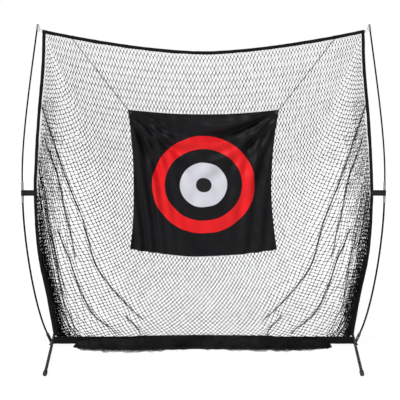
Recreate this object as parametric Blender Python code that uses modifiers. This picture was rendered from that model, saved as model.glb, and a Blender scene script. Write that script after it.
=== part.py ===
"""A golf hitting net on two bowed poles, 2.4 m wide and 2.1 m high.

Metres, +Z up. The origin is on the floor under the middle of the frame, and the netting's border lies in
the plane Y = 0. The golfer stands at -Y, and the netting bags out behind, towards +Y. "Left" is -X.
"""

import math

import bmesh
import bpy
from mathutils import Matrix, Vector
from mathutils.geometry import interpolate_bezier

# Clearances
GAP = 0.0004  # between two pieces that touch
BORE_GAP = 0.0003  # all round, between a tube and what slides into it

# Legs: one straight tube under each hub, toed in at the front
HUB_X = 1.0216
LEG_R = 0.0095
LEG_WALL = 0.0012
LEG_HALF = 0.5355
LEG_Z = 0.0125
TOE_IN = math.radians(9.6)
CAP_R = 0.0130
CAP_LENGTH = 0.045
CAP_END = 0.005

# Hub: a plate over the leg, with the pole socket and the bar's stub on it
PLATE_THICK = 0.003
PLATE_X = 0.026
PLATE_Y = 0.060
PLATE_CORNER = 0.006
PLATE_Z = LEG_Z + LEG_R + GAP + PLATE_THICK / 2
DECK_Z = PLATE_Z + PLATE_THICK / 2 + GAP
SOCKET_TILT = math.radians(24.0)
SOCKET_R = 0.0100
SOCKET_LENGTH = 0.070
SOCKET_Z = DECK_Z + SOCKET_R * math.sin(SOCKET_TILT)
BOLT_R = 0.0030
BOLT_HEAD_R = 0.0070
BOLT_HEAD = 0.0018
NUT_FLAT = 0.0050
NUT_HEIGHT = 0.0030

# Bottom bar: two tubes joined by a coupling tube inside them
BAR_R = 0.0110
BAR_WALL = 0.0012
BAR_END_X = 0.990
INNER_R = BAR_R - BAR_WALL - BORE_GAP
INNER_WALL = 0.0014
COUPLER_HALF = 0.080
STUB_OUTER_X = HUB_X - 0.0101
STUB_INNER_X = 0.925
BAR_Z = DECK_Z + INNER_R

# Snap buttons in the inner tubes, with their leaf springs
BUTTON_R = 0.0031
BUTTON_HOLE_R = 0.0035
BUTTON_TOP = BAR_R + 0.0035
FLANGE_R = 0.0042
FLANGE_TOP = 0.0062
FLANGE_THICK = 0.0010
LEAF_THICK = 0.0005
LEAF_HALF_WIDTH = 0.003
COUPLER_BUTTON_X = 0.050
STUB_BUTTON_X = 0.955

# Bowed poles, in two sections with a ferrule over the joint
POLE_R = 0.00635
POLE_TIP_R = 0.0052
POLE_SEAT = 0.005
POLE_STRAIGHT = 0.005  # past the socket and the tip cap
POLE_POINTS = 20
LOW_BOW_START = 0.20  # how far each bow keeps its end's direction
LOW_BOW_END = 0.25
HIGH_BOW_START = 0.26
HIGH_BOW_END = 0.35
BOW_X = 1.192
FERRULE_LOW = 0.9755
FERRULE_HIGH = 1.1137
FERRULE_R = 0.0080
JOINT_Z = (FERRULE_LOW + FERRULE_HIGH) / 2
TIP_X = 1.0685
TIP_Z = 2.117
TIP_TILT = math.radians(9.0)
TIP_CAP_R = 0.0065
TIP_CAP_SKIRT = 0.030
TIP_NECK_R = 0.0042
TIP_NECK_LOW = 0.0040
TIP_NECK_HIGH = 0.0080
TIP_HEAD_R = 0.0075
TIP_HEAD = 0.0045

# Net border: binding tape, bottom sleeve, corner rings
TAPE_WIDTH = 0.0215
TAPE_THICK = 0.0024
TOP_MID_Z = 1.9575
TOP_RISE = 0.1375
TOP_HALF = 1.036
TOP_POWER = 1.6
SIDE_EDGE = (  # outer edge of the side tape, from the sleeve up to the top tape
    (1.008, 0.076),
    (1.048, 0.335),
    (1.104, 0.650),
    (1.119, 1.000),
    (1.108, 1.250),
    (1.083, 1.550),
    (1.050, 1.850),
    (1.038, 2.068),
)
SLEEVE_HALF = 1.0085
SLEEVE_LOW = 0.0225  # just over the legs, which swivel under it
SLEEVE_HIGH = 0.0720
SLEEVE_HALF_DEPTH = 0.0136
SLEEVE_THICK = 0.0014
RING_R = 0.0100
RING_WIRE_R = 0.0015
RING_X = 1.0505
RING_Z = 2.0900

# Netting: two thin plies, each a shell through these rows from the top tape round to the sleeve
PLY_THICK = 0.0015
PLY_STEP = 0.008
PLY_EDGE = 0.003  # from the side tape
PLY_COLUMNS = 18
PLY_ROWS_PER_SPAN = 2
MID_ROWS = (  # depth and height on the middle line
    (0.000, 1.934),
    (0.130, 1.580),
    (0.235, 1.150),
    (0.310, 0.700),
    (0.330, 0.350),
    (0.310, 0.130),
    (0.250, 0.024),
    (0.130, 0.014),
    (0.026, 0.020),
)
SIDE_ROWS = (2.064, 1.650, 1.220, 0.800, 0.450, 0.230, 0.150, 0.100, 0.050)
REAR_DEPTH = 0.026
BAG_POWER = 2.6

# Surplus netting, bunched in a roll in front of the sleeve
ROLL_HALF = 0.865
ROLL_STATIONS = 12
ROLL_BACK_Y = -0.0150
ROLL_DEPTH = 0.128
ROLL_END_DEPTH = 0.020
ROLL_HEIGHT = 0.116
ROLL_END_HEIGHT = 0.040
ROLL_LUMP = 0.06
ROLL_FLOOR = 0.0015

# Target: a cloth panel on two cords
TARGET_TOP_X = 0.492
TARGET_TOP_Z = 1.584
TARGET_LOW_X = 0.486
TARGET_LOW_Z = 0.668
TARGET_TOP_SAG = 0.030
TARGET_SIDE_SAG = 0.038
TARGET_LOW_SAG = 0.050
TARGET_THICK = 0.0030
TARGET_Y = -0.0050
GROMMET_INSET = 0.022
GROMMET_R = 0.0100
GROMMET_BORE = 0.0050
GROMMET_BARREL = 0.0062
GROMMET_LIP = 0.0008
CORD_R = 0.0015
LOOP_R = 0.0012  # the elastic corner loops
ANCHOR_X = 0.8445
TIE_THICK = 0.0012
TIE_HALF_WIDTH = 0.0025

# Straps that hold the net's sides to the ferrules
STRAP_Z = 1.040
STRAP_HEIGHT = 0.038
STRAP_THICK = 0.0018

ROUND = 20  # sides of a turned piece
SMALL_ROUND = 12  # sides of a small one
SIDES = ((-1, "left"), (1, "right"))


# Scene and materials


def clear_scene():
    for obj in list(bpy.data.objects):
        bpy.data.objects.remove(obj, do_unlink=True)


def new_collection(name):
    made = bpy.data.collections.new(name)
    bpy.context.scene.collection.children.link(made)
    return made


def new_material(name, colour, roughness, metallic=0.0):
    made = bpy.data.materials.new(name)
    made.use_nodes = True
    shader = made.node_tree.nodes["Principled BSDF"]
    shader.inputs["Base Color"].default_value = (*colour, 1.0)
    shader.inputs["Roughness"].default_value = roughness
    shader.inputs["Metallic"].default_value = metallic
    return made


clear_scene()
PARTS = new_collection("golf_hitting_net")
CUTTERS = new_collection("cutters")

BLACK_STEEL = new_material("black_powder_coat", (0.016, 0.016, 0.018), 0.45, 0.3)
GREY_STEEL = new_material("grey_steel", (0.34, 0.34, 0.35), 0.35, 1.0)
SPRING_STEEL = new_material("spring_steel", (0.45, 0.45, 0.46), 0.3, 1.0)
FIBREGLASS = new_material("black_fibreglass", (0.012, 0.012, 0.013), 0.35)
RUBBER = new_material("black_rubber", (0.02, 0.02, 0.02), 0.8)
NETTING = new_material("black_netting", (0.02, 0.02, 0.022), 0.8)
TAPE = new_material("black_tape", (0.012, 0.012, 0.013), 0.85)
CLOTH = new_material("black_cloth", (0.014, 0.014, 0.016), 0.7)
ELASTIC = new_material("pale_elastic", (0.62, 0.62, 0.60), 0.8)


# Geometry helpers


def add(name, data, material, matrix=None):
    """A named part in the parts' collection."""
    made = bpy.data.objects.new(name, data)
    data.materials.append(material)
    PARTS.objects.link(made)
    if matrix is not None:
        made.matrix_world = matrix
    return made


def along(point, direction):
    """A placement with its origin at the point and local +Z along the direction."""
    turn = Vector(direction).to_track_quat("Z", "Y").to_matrix().to_4x4()
    return Matrix.Translation(point) @ turn


def turned(name, profile, matrix, material, steps=ROUND):
    """A solid of revolution about local Z. The profile's (radius, height) points run top to bottom."""
    mesh = bpy.data.meshes.new(name)
    points = [(radius, 0.0, height) for radius, height in profile]
    edges = [(i, i + 1) for i in range(len(points) - 1)]
    on_axis = profile[0][0] == 0.0
    if not on_axis:
        edges.append((len(points) - 1, 0))
    mesh.from_pydata(points, edges, [])
    made = add(name, mesh, material, matrix)
    screw = made.modifiers.new("Turn", "SCREW")
    screw.axis = "Z"
    screw.steps = steps
    screw.render_steps = steps
    screw.use_merge_vertices = True
    screw.merge_threshold = 0.00001
    screw.use_smooth_shade = True
    return made


def tube_profile(outer, inner, length):
    """The profile of a plain tube, centred on its origin."""
    half = length / 2
    return ((outer, half), (outer, -half), (inner, -half), (inner, half))


def wire(name, points, radius, material, cyclic=False, fineness=2):
    """A round rod or cord along a line of points."""
    curve = bpy.data.curves.new(name, "CURVE")
    curve.dimensions = "3D"
    curve.bevel_depth = radius
    curve.bevel_resolution = fineness
    curve.use_fill_caps = not cyclic
    spline = curve.splines.new("POLY")
    spline.points.add(len(points) - 1)
    for target, point in zip(spline.points, points, strict=True):
        target.co = (*point, 1.0)
    spline.use_cyclic_u = cyclic
    return add(name, curve, material)


def flat(name, outlines, thickness, matrix, material):
    """A flat piece of a thickness: the first outline is its edge, and the others are its holes."""
    curve = bpy.data.curves.new(name, "CURVE")
    curve.dimensions = "2D"
    curve.fill_mode = "BOTH"
    curve.extrude = thickness / 2
    for outline in outlines:
        spline = curve.splines.new("POLY")
        spline.points.add(len(outline) - 1)
        for target, point in zip(spline.points, outline, strict=True):
            target.co = (point[0], point[1], 0.0, 1.0)
        spline.use_cyclic_u = True
    return add(name, curve, material, matrix)


def cutter_rod(name, radius, length, matrix):
    """A round cutter along local Z."""
    mesh = bpy.data.meshes.new(name)
    shape = bmesh.new()
    bmesh.ops.create_cone(
        shape, cap_ends=True, segments=12, radius1=radius, radius2=radius, depth=length
    )
    shape.to_mesh(mesh)
    shape.free()
    return add_cutter(name, mesh, matrix)


def cutter_box(name, size, matrix):
    mesh = bpy.data.meshes.new(name)
    shape = bmesh.new()
    bmesh.ops.create_cube(shape, size=1.0)
    bmesh.ops.scale(shape, vec=size, verts=shape.verts)
    shape.to_mesh(mesh)
    shape.free()
    return add_cutter(name, mesh, matrix)


def add_cutter(name, mesh, matrix):
    made = bpy.data.objects.new(name, mesh)
    CUTTERS.objects.link(made)
    made.matrix_world = matrix
    made.hide_render = True
    made.display_type = "WIRE"
    return made


def cut(obj, cutter):
    modifier = obj.modifiers.new("Cut", "BOOLEAN")
    modifier.operation = "DIFFERENCE"
    modifier.solver = "EXACT"
    modifier.object = cutter


def joint_empty(name, matrix):
    """An empty on a joint's axis, which the pieces that move together hang from."""
    made = bpy.data.objects.new(name, None)
    PARTS.objects.link(made)
    made.matrix_world = matrix
    return made


def hang_from(empty, pieces):
    for piece in pieces:
        piece.parent = empty
        piece.matrix_parent_inverse = empty.matrix_world.inverted()


def circle(x, y, radius, count):
    """Points round a circle."""
    turns = [2 * math.pi * i / count for i in range(count)]
    return [(x + radius * math.cos(a), y + radius * math.sin(a)) for a in turns]


def smooth(points, per_span):
    """Points on a smooth (Catmull-Rom) curve through the given ones."""
    known = [Vector(point) for point in points]
    ends = [2 * known[0] - known[1], *known, 2 * known[-1] - known[-2]]
    made = []
    for before, start, end, after in zip(ends, ends[1:], ends[2:], ends[3:], strict=False):
        for i in range(per_span):
            t = i / per_span
            flow = (end - before) * t
            bend = (2 * before - 5 * start + 4 * end - after) * t * t
            turn = (3 * start - before - 3 * end + after) * t * t * t
            made.append(start + (flow + bend + turn) / 2)
    made.append(known[-1])
    return made


def ribbon(path, width):
    """The outline of a band of a width whose one edge is the path, on the path's right."""
    inner = []
    for i, point in enumerate(path):
        ahead = path[min(i + 1, len(path) - 1)]
        behind = path[max(i - 1, 0)]
        run = Vector((ahead[0] - behind[0], ahead[1] - behind[1])).normalized()
        inner.append((point[0] + run.y * width, point[1] - run.x * width))
    return [*path, *reversed(inner)]


UPRIGHT = Matrix.Rotation(math.pi / 2, 4, "X")  # local X and Y to world X and Z


# Legs and hubs


def hub_point(side, z):
    return Vector((side * HUB_X, 0.0, z))


def leg_direction(side):
    """Along the leg, from the hub towards its front end."""
    return Vector((-side * math.sin(TOE_IN), -math.cos(TOE_IN), 0.0))


def make_leg(side, word):
    run = leg_direction(side)
    centre = hub_point(side, LEG_Z)
    profile = tube_profile(LEG_R, LEG_R - LEG_WALL, 2 * LEG_HALF)
    leg = turned(f"leg_{word}", profile, along(centre, run), BLACK_STEEL)
    hole = Matrix.Translation(centre)
    cut(leg, cutter_rod(f"leg_pivot_hole_{word}", BOLT_R + BORE_GAP, 4 * LEG_R, hole))
    floor = cutter_box(f"floor_{word}", (1.4, 1.4, 0.02), Matrix.Translation((side * HUB_X, 0, -0.01)))
    caps = []
    for end, sign in (("front", 1), ("rear", -1)):
        cap = make_foot_cap(f"foot_cap_{word}_{end}", centre + sign * LEG_HALF * run, sign * run)
        cut(cap, floor)
        caps.append(cap)
    pivot = joint_empty(f"leg_pivot_{word}", Matrix.Translation(hub_point(side, 0.0)))
    hang_from(pivot, [leg, *caps])


def make_foot_cap(name, tube_end, outward):
    """A rubber cup over the end of a leg, with its closed end outward."""
    bore = LEG_R + BORE_GAP
    rounding = 0.003
    profile = (
        (0.0, CAP_END),
        (CAP_R - rounding, CAP_END),
        (CAP_R, CAP_END - rounding),
        (CAP_R, CAP_END - CAP_LENGTH),
        (bore, CAP_END - CAP_LENGTH),
        (bore, GAP),
        (0.0, GAP),
    )
    return turned(name, profile, along(tube_end, outward), RUBBER)


def make_hub(side, word):
    half_x = PLATE_X / 2
    half_y = PLATE_Y / 2
    outline = []
    for x, y, start in ((1, 1, 0), (-1, 1, 90), (-1, -1, 180), (1, -1, 270)):
        for step in range(5):
            angle = math.radians(start + 22.5 * step)
            outline.append((
                x * (half_x - PLATE_CORNER) + PLATE_CORNER * math.cos(angle),
                y * (half_y - PLATE_CORNER) + PLATE_CORNER * math.sin(angle),
            ))
    hole = circle(0.0, 0.0, BOLT_R + BORE_GAP, 12)
    place = Matrix.Translation(hub_point(side, PLATE_Z))
    flat(f"hub_plate_{word}", [outline, hole], PLATE_THICK, place, BLACK_STEEL)

    profile = (
        (SOCKET_R, SOCKET_LENGTH),
        (SOCKET_R, 0.0),
        (POLE_R + BORE_GAP, 0.0),
        (POLE_R + BORE_GAP, SOCKET_LENGTH),
    )
    turned(f"pole_socket_{word}", profile, socket_place(side), BLACK_STEEL)

    stub_length = STUB_OUTER_X - STUB_INNER_X
    stub_middle = Vector((side * (STUB_OUTER_X + STUB_INNER_X) / 2, 0.0, BAR_Z))
    stub_profile = tube_profile(INNER_R, INNER_R - INNER_WALL, stub_length)
    stub = turned(f"bar_stub_{word}", stub_profile, along(stub_middle, (1, 0, 0)), BLACK_STEEL)
    cut(stub, button_hole(f"stub_button_hole_{word}", side * STUB_BUTTON_X))
    make_button(f"stub_button_{word}", side * STUB_BUTTON_X)
    make_leaf_spring(f"stub_spring_{word}", side * STUB_BUTTON_X, -side)
    make_pivot_bolt(side, word)


def make_pivot_bolt(side, word):
    head_low = LEG_Z - LEG_R - GAP - BOLT_HEAD
    head_high = head_low + BOLT_HEAD
    nut_middle = DECK_Z + NUT_HEIGHT / 2
    top = DECK_Z + NUT_HEIGHT + 0.0008
    profile = (
        (0.0, top),
        (BOLT_R, top),
        (BOLT_R, head_high),
        (BOLT_HEAD_R, head_high),
        (BOLT_HEAD_R - 0.001, head_low),
        (0.0, head_low),
    )
    place = Matrix.Translation(hub_point(side, 0.0))
    turned(f"pivot_bolt_{word}", profile, place, GREY_STEEL, SMALL_ROUND)
    hexagon = circle(0.0, 0.0, NUT_FLAT / math.cos(math.pi / 6), 6)
    hole = circle(0.0, 0.0, BOLT_R + BORE_GAP, 12)
    place = Matrix.Translation(hub_point(side, nut_middle))
    flat(f"pivot_nut_{word}", [hexagon, hole], NUT_HEIGHT, place, GREY_STEEL)


# Bottom bar and its snap buttons


def button_hole(name, x):
    """A cutter through the top wall only of the tubes on the bar's axis."""
    length = 0.012
    middle = Vector((x, 0.0, BAR_Z + BAR_R))
    return cutter_rod(name, BUTTON_HOLE_R, length, Matrix.Translation(middle))


def make_bar(side, word):
    length = BAR_END_X - GAP
    middle = Vector((side * (BAR_END_X + GAP) / 2, 0.0, BAR_Z))
    profile = tube_profile(BAR_R, BAR_R - BAR_WALL, length)
    bar = turned(f"bottom_bar_{word}", profile, along(middle, (1, 0, 0)), BLACK_STEEL)
    cut(bar, button_hole(f"bar_hole_inner_{word}", side * COUPLER_BUTTON_X))
    cut(bar, button_hole(f"bar_hole_outer_{word}", side * STUB_BUTTON_X))


def make_coupler():
    profile = tube_profile(INNER_R, INNER_R - INNER_WALL, 2 * COUPLER_HALF)
    place = along((0.0, 0.0, BAR_Z), (1, 0, 0))
    coupler = turned("bar_coupler", profile, place, GREY_STEEL)
    for side, word in SIDES:
        x = side * COUPLER_BUTTON_X
        cut(coupler, button_hole(f"coupler_hole_{word}", x))
        make_button(f"coupler_button_{word}", x)
        make_leaf_spring(f"coupler_spring_{word}", x, side)


def make_button(name, x):
    """A snap button that points up from the bar's axis."""
    crown = 0.001
    profile = (
        (0.0, BUTTON_TOP),
        (BUTTON_R - crown, BUTTON_TOP),
        (BUTTON_R, BUTTON_TOP - crown),
        (BUTTON_R, FLANGE_TOP),
        (FLANGE_R, FLANGE_TOP),
        (FLANGE_R, FLANGE_TOP - FLANGE_THICK),
        (0.0, FLANGE_TOP - FLANGE_THICK),
    )
    turned(name, profile, Matrix.Translation((x, 0.0, BAR_Z)), GREY_STEEL, SMALL_ROUND)


def make_leaf_spring(name, x, outward):
    """A V of spring strip under a button, with its bend on the outward side."""
    path = [
        (0.0, 0.0049),
        (0.020, 0.0020),
        (0.0232, 0.0014),
        (0.0245, 0.0002),
        (0.0232, -0.0010),
        (0.020, -0.0016),
        (0.0, -0.0064),
    ]
    outline = [(outward * along_bar, up) for along_bar, up in ribbon(path, LEAF_THICK)]
    place = Matrix.Translation((x, 0.0, BAR_Z)) @ UPRIGHT
    flat(name, [outline], 2 * LEAF_HALF_WIDTH, place, SPRING_STEEL)


# Poles


def socket_direction(side):
    return Vector((side * math.sin(SOCKET_TILT), 0.0, math.cos(SOCKET_TILT)))


def socket_place(side):
    return along(hub_point(side, SOCKET_Z), socket_direction(side))


def lower_pole_line(side):
    """Straight in the socket, then bowed outward to upright in the ferrule."""
    axis = socket_direction(side)
    base = hub_point(side, SOCKET_Z)
    mouth = base + axis * (SOCKET_LENGTH + POLE_STRAIGHT)
    ferrule = Vector((side * BOW_X, 0.0, FERRULE_LOW))
    low_handle = mouth + LOW_BOW_START * axis
    high_handle = ferrule - Vector((0.0, 0.0, LOW_BOW_END))
    bow = interpolate_bezier(mouth, low_handle, high_handle, ferrule, POLE_POINTS)
    top = Vector((side * BOW_X, 0.0, JOINT_Z - GAP / 2))
    return [base + axis * POLE_SEAT, *bow, top]


def tip_direction(side):
    return Vector((-side * math.sin(TIP_TILT), 0.0, math.cos(TIP_TILT)))


def upper_pole_line(side):
    """Upright in the ferrule, then bowed inward to a straight end in the tip cap."""
    bottom = Vector((side * BOW_X, 0.0, JOINT_Z + GAP / 2))
    ferrule = Vector((side * BOW_X, 0.0, FERRULE_HIGH))
    tip = Vector((side * TIP_X, 0.0, TIP_Z))
    straight = tip - tip_direction(side) * (TIP_CAP_SKIRT + POLE_STRAIGHT)
    low_handle = ferrule + Vector((0.0, 0.0, HIGH_BOW_START))
    high_handle = straight - tip_direction(side) * HIGH_BOW_END
    bow = interpolate_bezier(ferrule, low_handle, high_handle, straight, POLE_POINTS)
    return [bottom, *bow, tip]


def make_pole(side, word):
    seat = joint_empty(f"pole_seat_{word}", socket_place(side))
    lower = wire(f"pole_lower_{word}", lower_pole_line(side), POLE_R, FIBREGLASS)
    upper = wire(f"pole_upper_{word}", upper_pole_line(side), POLE_TIP_R, FIBREGLASS)
    hang_from(seat, [lower, upper, *make_pole_fittings(side, word)])


def make_pole_fittings(side, word):
    ferrule_profile = (
        (FERRULE_R - 0.0005, FERRULE_HIGH),
        (FERRULE_R, FERRULE_HIGH - 0.001),
        (FERRULE_R, FERRULE_LOW + 0.001),
        (FERRULE_R - 0.0005, FERRULE_LOW),
        (POLE_R + BORE_GAP, FERRULE_LOW),
        (POLE_R + BORE_GAP, JOINT_Z),
        (POLE_TIP_R + BORE_GAP, JOINT_Z),
        (POLE_TIP_R + BORE_GAP, FERRULE_HIGH),
    )
    place = Matrix.Translation((side * BOW_X, 0.0, 0.0))
    ferrule = turned(f"ferrule_{word}", ferrule_profile, place, GREY_STEEL)
    head_top = TIP_NECK_HIGH + TIP_HEAD
    cap_profile = (
        (0.0, head_top),
        (TIP_HEAD_R - 0.002, head_top),
        (TIP_HEAD_R, head_top - 0.0015),
        (TIP_HEAD_R, TIP_NECK_HIGH),
        (TIP_NECK_R, TIP_NECK_HIGH),
        (TIP_NECK_R, TIP_NECK_LOW),
        (TIP_NECK_R + 0.0005, TIP_NECK_LOW),
        (TIP_CAP_R, TIP_NECK_LOW - 0.004),
        (TIP_CAP_R, -TIP_CAP_SKIRT),
        (POLE_TIP_R + BORE_GAP, -TIP_CAP_SKIRT),
        (POLE_TIP_R + BORE_GAP, GAP),
        (0.0, GAP),
    )
    tip = Vector((side * TIP_X, 0.0, TIP_Z))
    cap = turned(f"tip_cap_{word}", cap_profile, along(tip, tip_direction(side)), GREY_STEEL)
    return [ferrule, cap, make_strap(side, word), make_corner_loop(side, word)]


def make_strap(side, word):
    """A webbing loop round the ferrule, closed flat against the side tape."""
    inner_r = FERRULE_R + BORE_GAP
    outer_r = inner_r + STRAP_THICK
    tape_x = side_edge_x(STRAP_Z) + GAP
    outer = strap_outline(outer_r, tape_x, STRAP_THICK)
    inner = strap_outline(inner_r, tape_x + 2 * STRAP_THICK, STRAP_THICK / 4)
    outlines = [[(side * x, y) for x, y in line] for line in (outer, inner)]
    place = Matrix.Translation((0.0, 0.0, STRAP_Z))
    return flat(f"strap_{word}", outlines, STRAP_HEIGHT, place, TAPE)


def strap_outline(radius, end_x, end_half):
    """A teardrop seen from above: round the ferrule, narrowing to the end beside the tape."""
    arc = []
    for i in range(13):
        angle = math.radians(-96 + 16 * i)
        arc.append((BOW_X + radius * math.cos(angle), radius * math.sin(angle)))
    return [(end_x, -end_half), *arc, (end_x, end_half)]


def make_corner_loop(side, word):
    """An elastic loop from the groove in the tip cap to the ring at the net's corner."""
    neck_up = (TIP_NECK_LOW + TIP_NECK_HIGH) / 2
    neck = Vector((TIP_X, 0.0, TIP_Z)) + tip_direction(1) * neck_up
    wrap = TIP_NECK_R + LOOP_R + GAP
    outward = Vector((math.cos(TIP_TILT), 0.0, math.sin(TIP_TILT)))
    half = []
    for i in range(5):
        angle = math.radians(22.5 * i)
        half.append(neck + outward * wrap * math.cos(angle) + Vector((0.0, wrap * math.sin(angle), 0.0)))
    ring_hole = Vector((RING_X + 0.0035, 0.0, RING_Z + 0.0035))
    half.append(neck - outward * 0.0090 + Vector((0.0, 0.0060, 0.0)))
    half.append(neck.lerp(ring_hole, 0.62) + Vector((-0.0008, 0.0052, 0.0016)))
    half.append(ring_hole + Vector((0.0006, 0.0036, 0.0010)))
    half = smooth(half, 2)
    half.append(ring_hole + Vector((-0.0010, 0.0018, -0.0010)))
    end = ring_hole + Vector((-0.0014, 0.0, -0.0014))
    mirrored = [Vector((p.x, -p.y, p.z)) for p in reversed(half[1:])]
    loop = [*half, end, *mirrored]
    return wire(f"corner_loop_{word}", [(side * p.x, p.y, p.z) for p in loop], LOOP_R, ELASTIC, True, 1)


# Net border


def top_edge_z(x):
    """Height of the top tape's upper edge."""
    return TOP_MID_Z + TOP_RISE * (abs(x) / TOP_HALF) ** TOP_POWER


def side_edge_points():
    return [(point.x, point.y) for point in smooth(SIDE_EDGE, 4)]


def side_edge_x(z):
    """How far out the side tape's outer edge is at a height."""
    line = side_edge_points()
    for (low_x, low_z), (high_x, high_z) in zip(line, line[1:], strict=False):
        if z <= high_z:
            return low_x + (high_x - low_x) * max(z - low_z, 0.0) / (high_z - low_z)
    return line[-1][0]


def make_tapes():
    count = 28
    xs = [TOP_HALF * (2 * i / count - 1) for i in range(count + 1)]
    top = ribbon([(x, top_edge_z(x)) for x in xs], TAPE_WIDTH)
    flat("top_binding", [top], TAPE_THICK, UPRIGHT, TAPE)
    for side, word in SIDES:
        band = ribbon(list(reversed(side_edge_points())), TAPE_WIDTH)
        outline = [(side * x, z) for x, z in band]
        flat(f"side_binding_{word}", [outline], TAPE_THICK, UPRIGHT, TAPE)
        make_corner_ring(side, word)


def make_corner_ring(side, word):
    points = []
    for x, z in circle(RING_X, RING_Z, RING_R, 18):
        points.append((side * x, 0.0, z))
    wire(f"corner_ring_{word}", points, RING_WIRE_R, GREY_STEEL, True, 1)


def stadium(half_width, low, high):
    """An upright outline with round ends."""
    points = []
    for centre, start in ((high - half_width, 0), (low + half_width, 180)):
        for i in range(9):
            angle = math.radians(start + 22.5 * i)
            points.append((half_width * math.cos(angle), centre + half_width * math.sin(angle)))
    return points


def make_sleeve():
    outer = stadium(SLEEVE_HALF_DEPTH, SLEEVE_LOW, SLEEVE_HIGH)
    inner_half = SLEEVE_HALF_DEPTH - SLEEVE_THICK
    inner = stadium(inner_half, SLEEVE_LOW + SLEEVE_THICK, SLEEVE_HIGH - SLEEVE_THICK)
    place = Matrix.Rotation(math.pi / 2, 4, "Z") @ UPRIGHT
    flat("bottom_sleeve", [outer, inner], 2 * SLEEVE_HALF, place, TAPE)


# Netting


def ply_point(across, mid, side_z):
    """A point on the netting: across runs from -1 to 1 between the side tapes."""
    reach = side_edge_x(side_z) - TAPE_WIDTH - PLY_EDGE
    spread = abs(across)
    bag = 1 - spread**BAG_POWER
    depth = mid[0] * bag + REAR_DEPTH * (1 - bag) * (1 - side_z / SIDE_ROWS[0])
    return Vector((across * reach, depth, mid[1] + (side_z - mid[1]) * spread**TOP_POWER))


def make_ply(name, border_step, middle_step):
    """One ply of the netting, behind the bag's surface by these distances."""
    mids = smooth([(y, z, 0.0) for y, z in MID_ROWS], PLY_ROWS_PER_SPAN)
    sides = smooth([(z, 0.0, 0.0) for z in SIDE_ROWS], PLY_ROWS_PER_SPAN)
    last = len(mids) - 1
    shape = bmesh.new()
    bmesh.ops.create_grid(shape, x_segments=PLY_COLUMNS, y_segments=last, size=1.0)
    steps = {}
    for vert in shape.verts:
        row = round((1 - vert.co.y) / 2 * last)
        across = vert.co.x
        free = math.sqrt(math.sin(math.pi * row / last)) * (1 - abs(across) ** 6)
        steps[vert] = border_step + (middle_step - border_step) * free
        vert.co = ply_point(across, mids[row], sides[row].x)
    shape.normal_update()
    for vert, step in steps.items():
        vert.co -= vert.normal * step
    mesh = bpy.data.meshes.new(name)
    shape.to_mesh(mesh)
    shape.free()
    ply = add(name, mesh, NETTING)
    thick = ply.modifiers.new("Thickness", "SOLIDIFY")
    thick.thickness = PLY_THICK
    thick.offset = 0.0
    return ply


def make_roll():
    """The bunched surplus in front of the sleeve: a box cage along X, rounded by subdivision."""
    shape = bmesh.new()
    bmesh.ops.create_grid(shape, x_segments=ROLL_STATIONS, y_segments=1, size=1.0)
    lift = bmesh.ops.extrude_face_region(shape, geom=shape.faces[:])
    top = {item for item in lift["geom"] if isinstance(item, bmesh.types.BMVert)}
    bmesh.ops.recalc_face_normals(shape, faces=shape.faces[:])
    for vert in shape.verts:
        place = vert.co.x
        full = (1 - abs(place) ** 3) ** 0.6
        lump = 1 + ROLL_LUMP * math.sin(9.0 * place + 0.7)
        front = vert.co.y < 0
        depth = (ROLL_END_DEPTH + (ROLL_DEPTH - ROLL_END_DEPTH) * full) * lump
        swell = full * (1 - 0.25 * place * place)
        height = ROLL_END_HEIGHT + (ROLL_HEIGHT - ROLL_END_HEIGHT) * swell
        vert.co.x = ROLL_HALF * place
        vert.co.y = ROLL_BACK_Y - (depth if front else 0.0)
        vert.co.z = height * (0.8 if front else 1.0) if vert in top else ROLL_FLOOR
    mesh = bpy.data.meshes.new("net_gather")
    shape.to_mesh(mesh)
    shape.free()
    roll = add("net_gather", mesh, NETTING)
    rounding = roll.modifiers.new("Rounding", "SUBSURF")
    rounding.levels = 1
    rounding.render_levels = 1


# Target


def sagging_edge(start, end, sag, count):
    """Points from start up to, not with, end, on an arc whose middle is off the straight by the sag."""
    off = (start + end) / 2 + Vector(sag) * 2
    made = []
    for i in range(count):
        t = i / count
        made.append(start * (1 - t) ** 2 + off * 2 * t * (1 - t) + end * t * t)
    return made


def target_outline():
    top_left = Vector((-TARGET_TOP_X, TARGET_TOP_Z))
    top_right = Vector((TARGET_TOP_X, TARGET_TOP_Z))
    low_left = Vector((-TARGET_LOW_X, TARGET_LOW_Z))
    low_right = Vector((TARGET_LOW_X, TARGET_LOW_Z))
    edges = (
        (top_left, low_left, (TARGET_SIDE_SAG, 0.0)),
        (low_left, low_right, (0.0, -TARGET_LOW_SAG)),
        (low_right, top_right, (-TARGET_SIDE_SAG, 0.0)),
        (top_right, top_left, (0.0, -TARGET_TOP_SAG)),
    )
    points = []
    for start, end, sag in edges:
        points.extend(sagging_edge(start, end, sag, 10))
    return [(point.x, point.y) for point in points]


def cord_anchor(side):
    """The place on the top tape's lower edge that a target cord hangs from."""
    slope = math.atan(TOP_RISE * TOP_POWER / TOP_HALF * (ANCHOR_X / TOP_HALF) ** (TOP_POWER - 1))
    low = top_edge_z(ANCHOR_X) - TAPE_WIDTH / math.cos(slope)
    return Vector((side * ANCHOR_X, TARGET_Y, low)), slope


def grommet_point(side):
    corner = Vector((side * TARGET_TOP_X, TARGET_Y, TARGET_TOP_Z))
    down = (corner - cord_anchor(side)[0]).normalized()
    return corner + down * GROMMET_INSET, down


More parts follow.
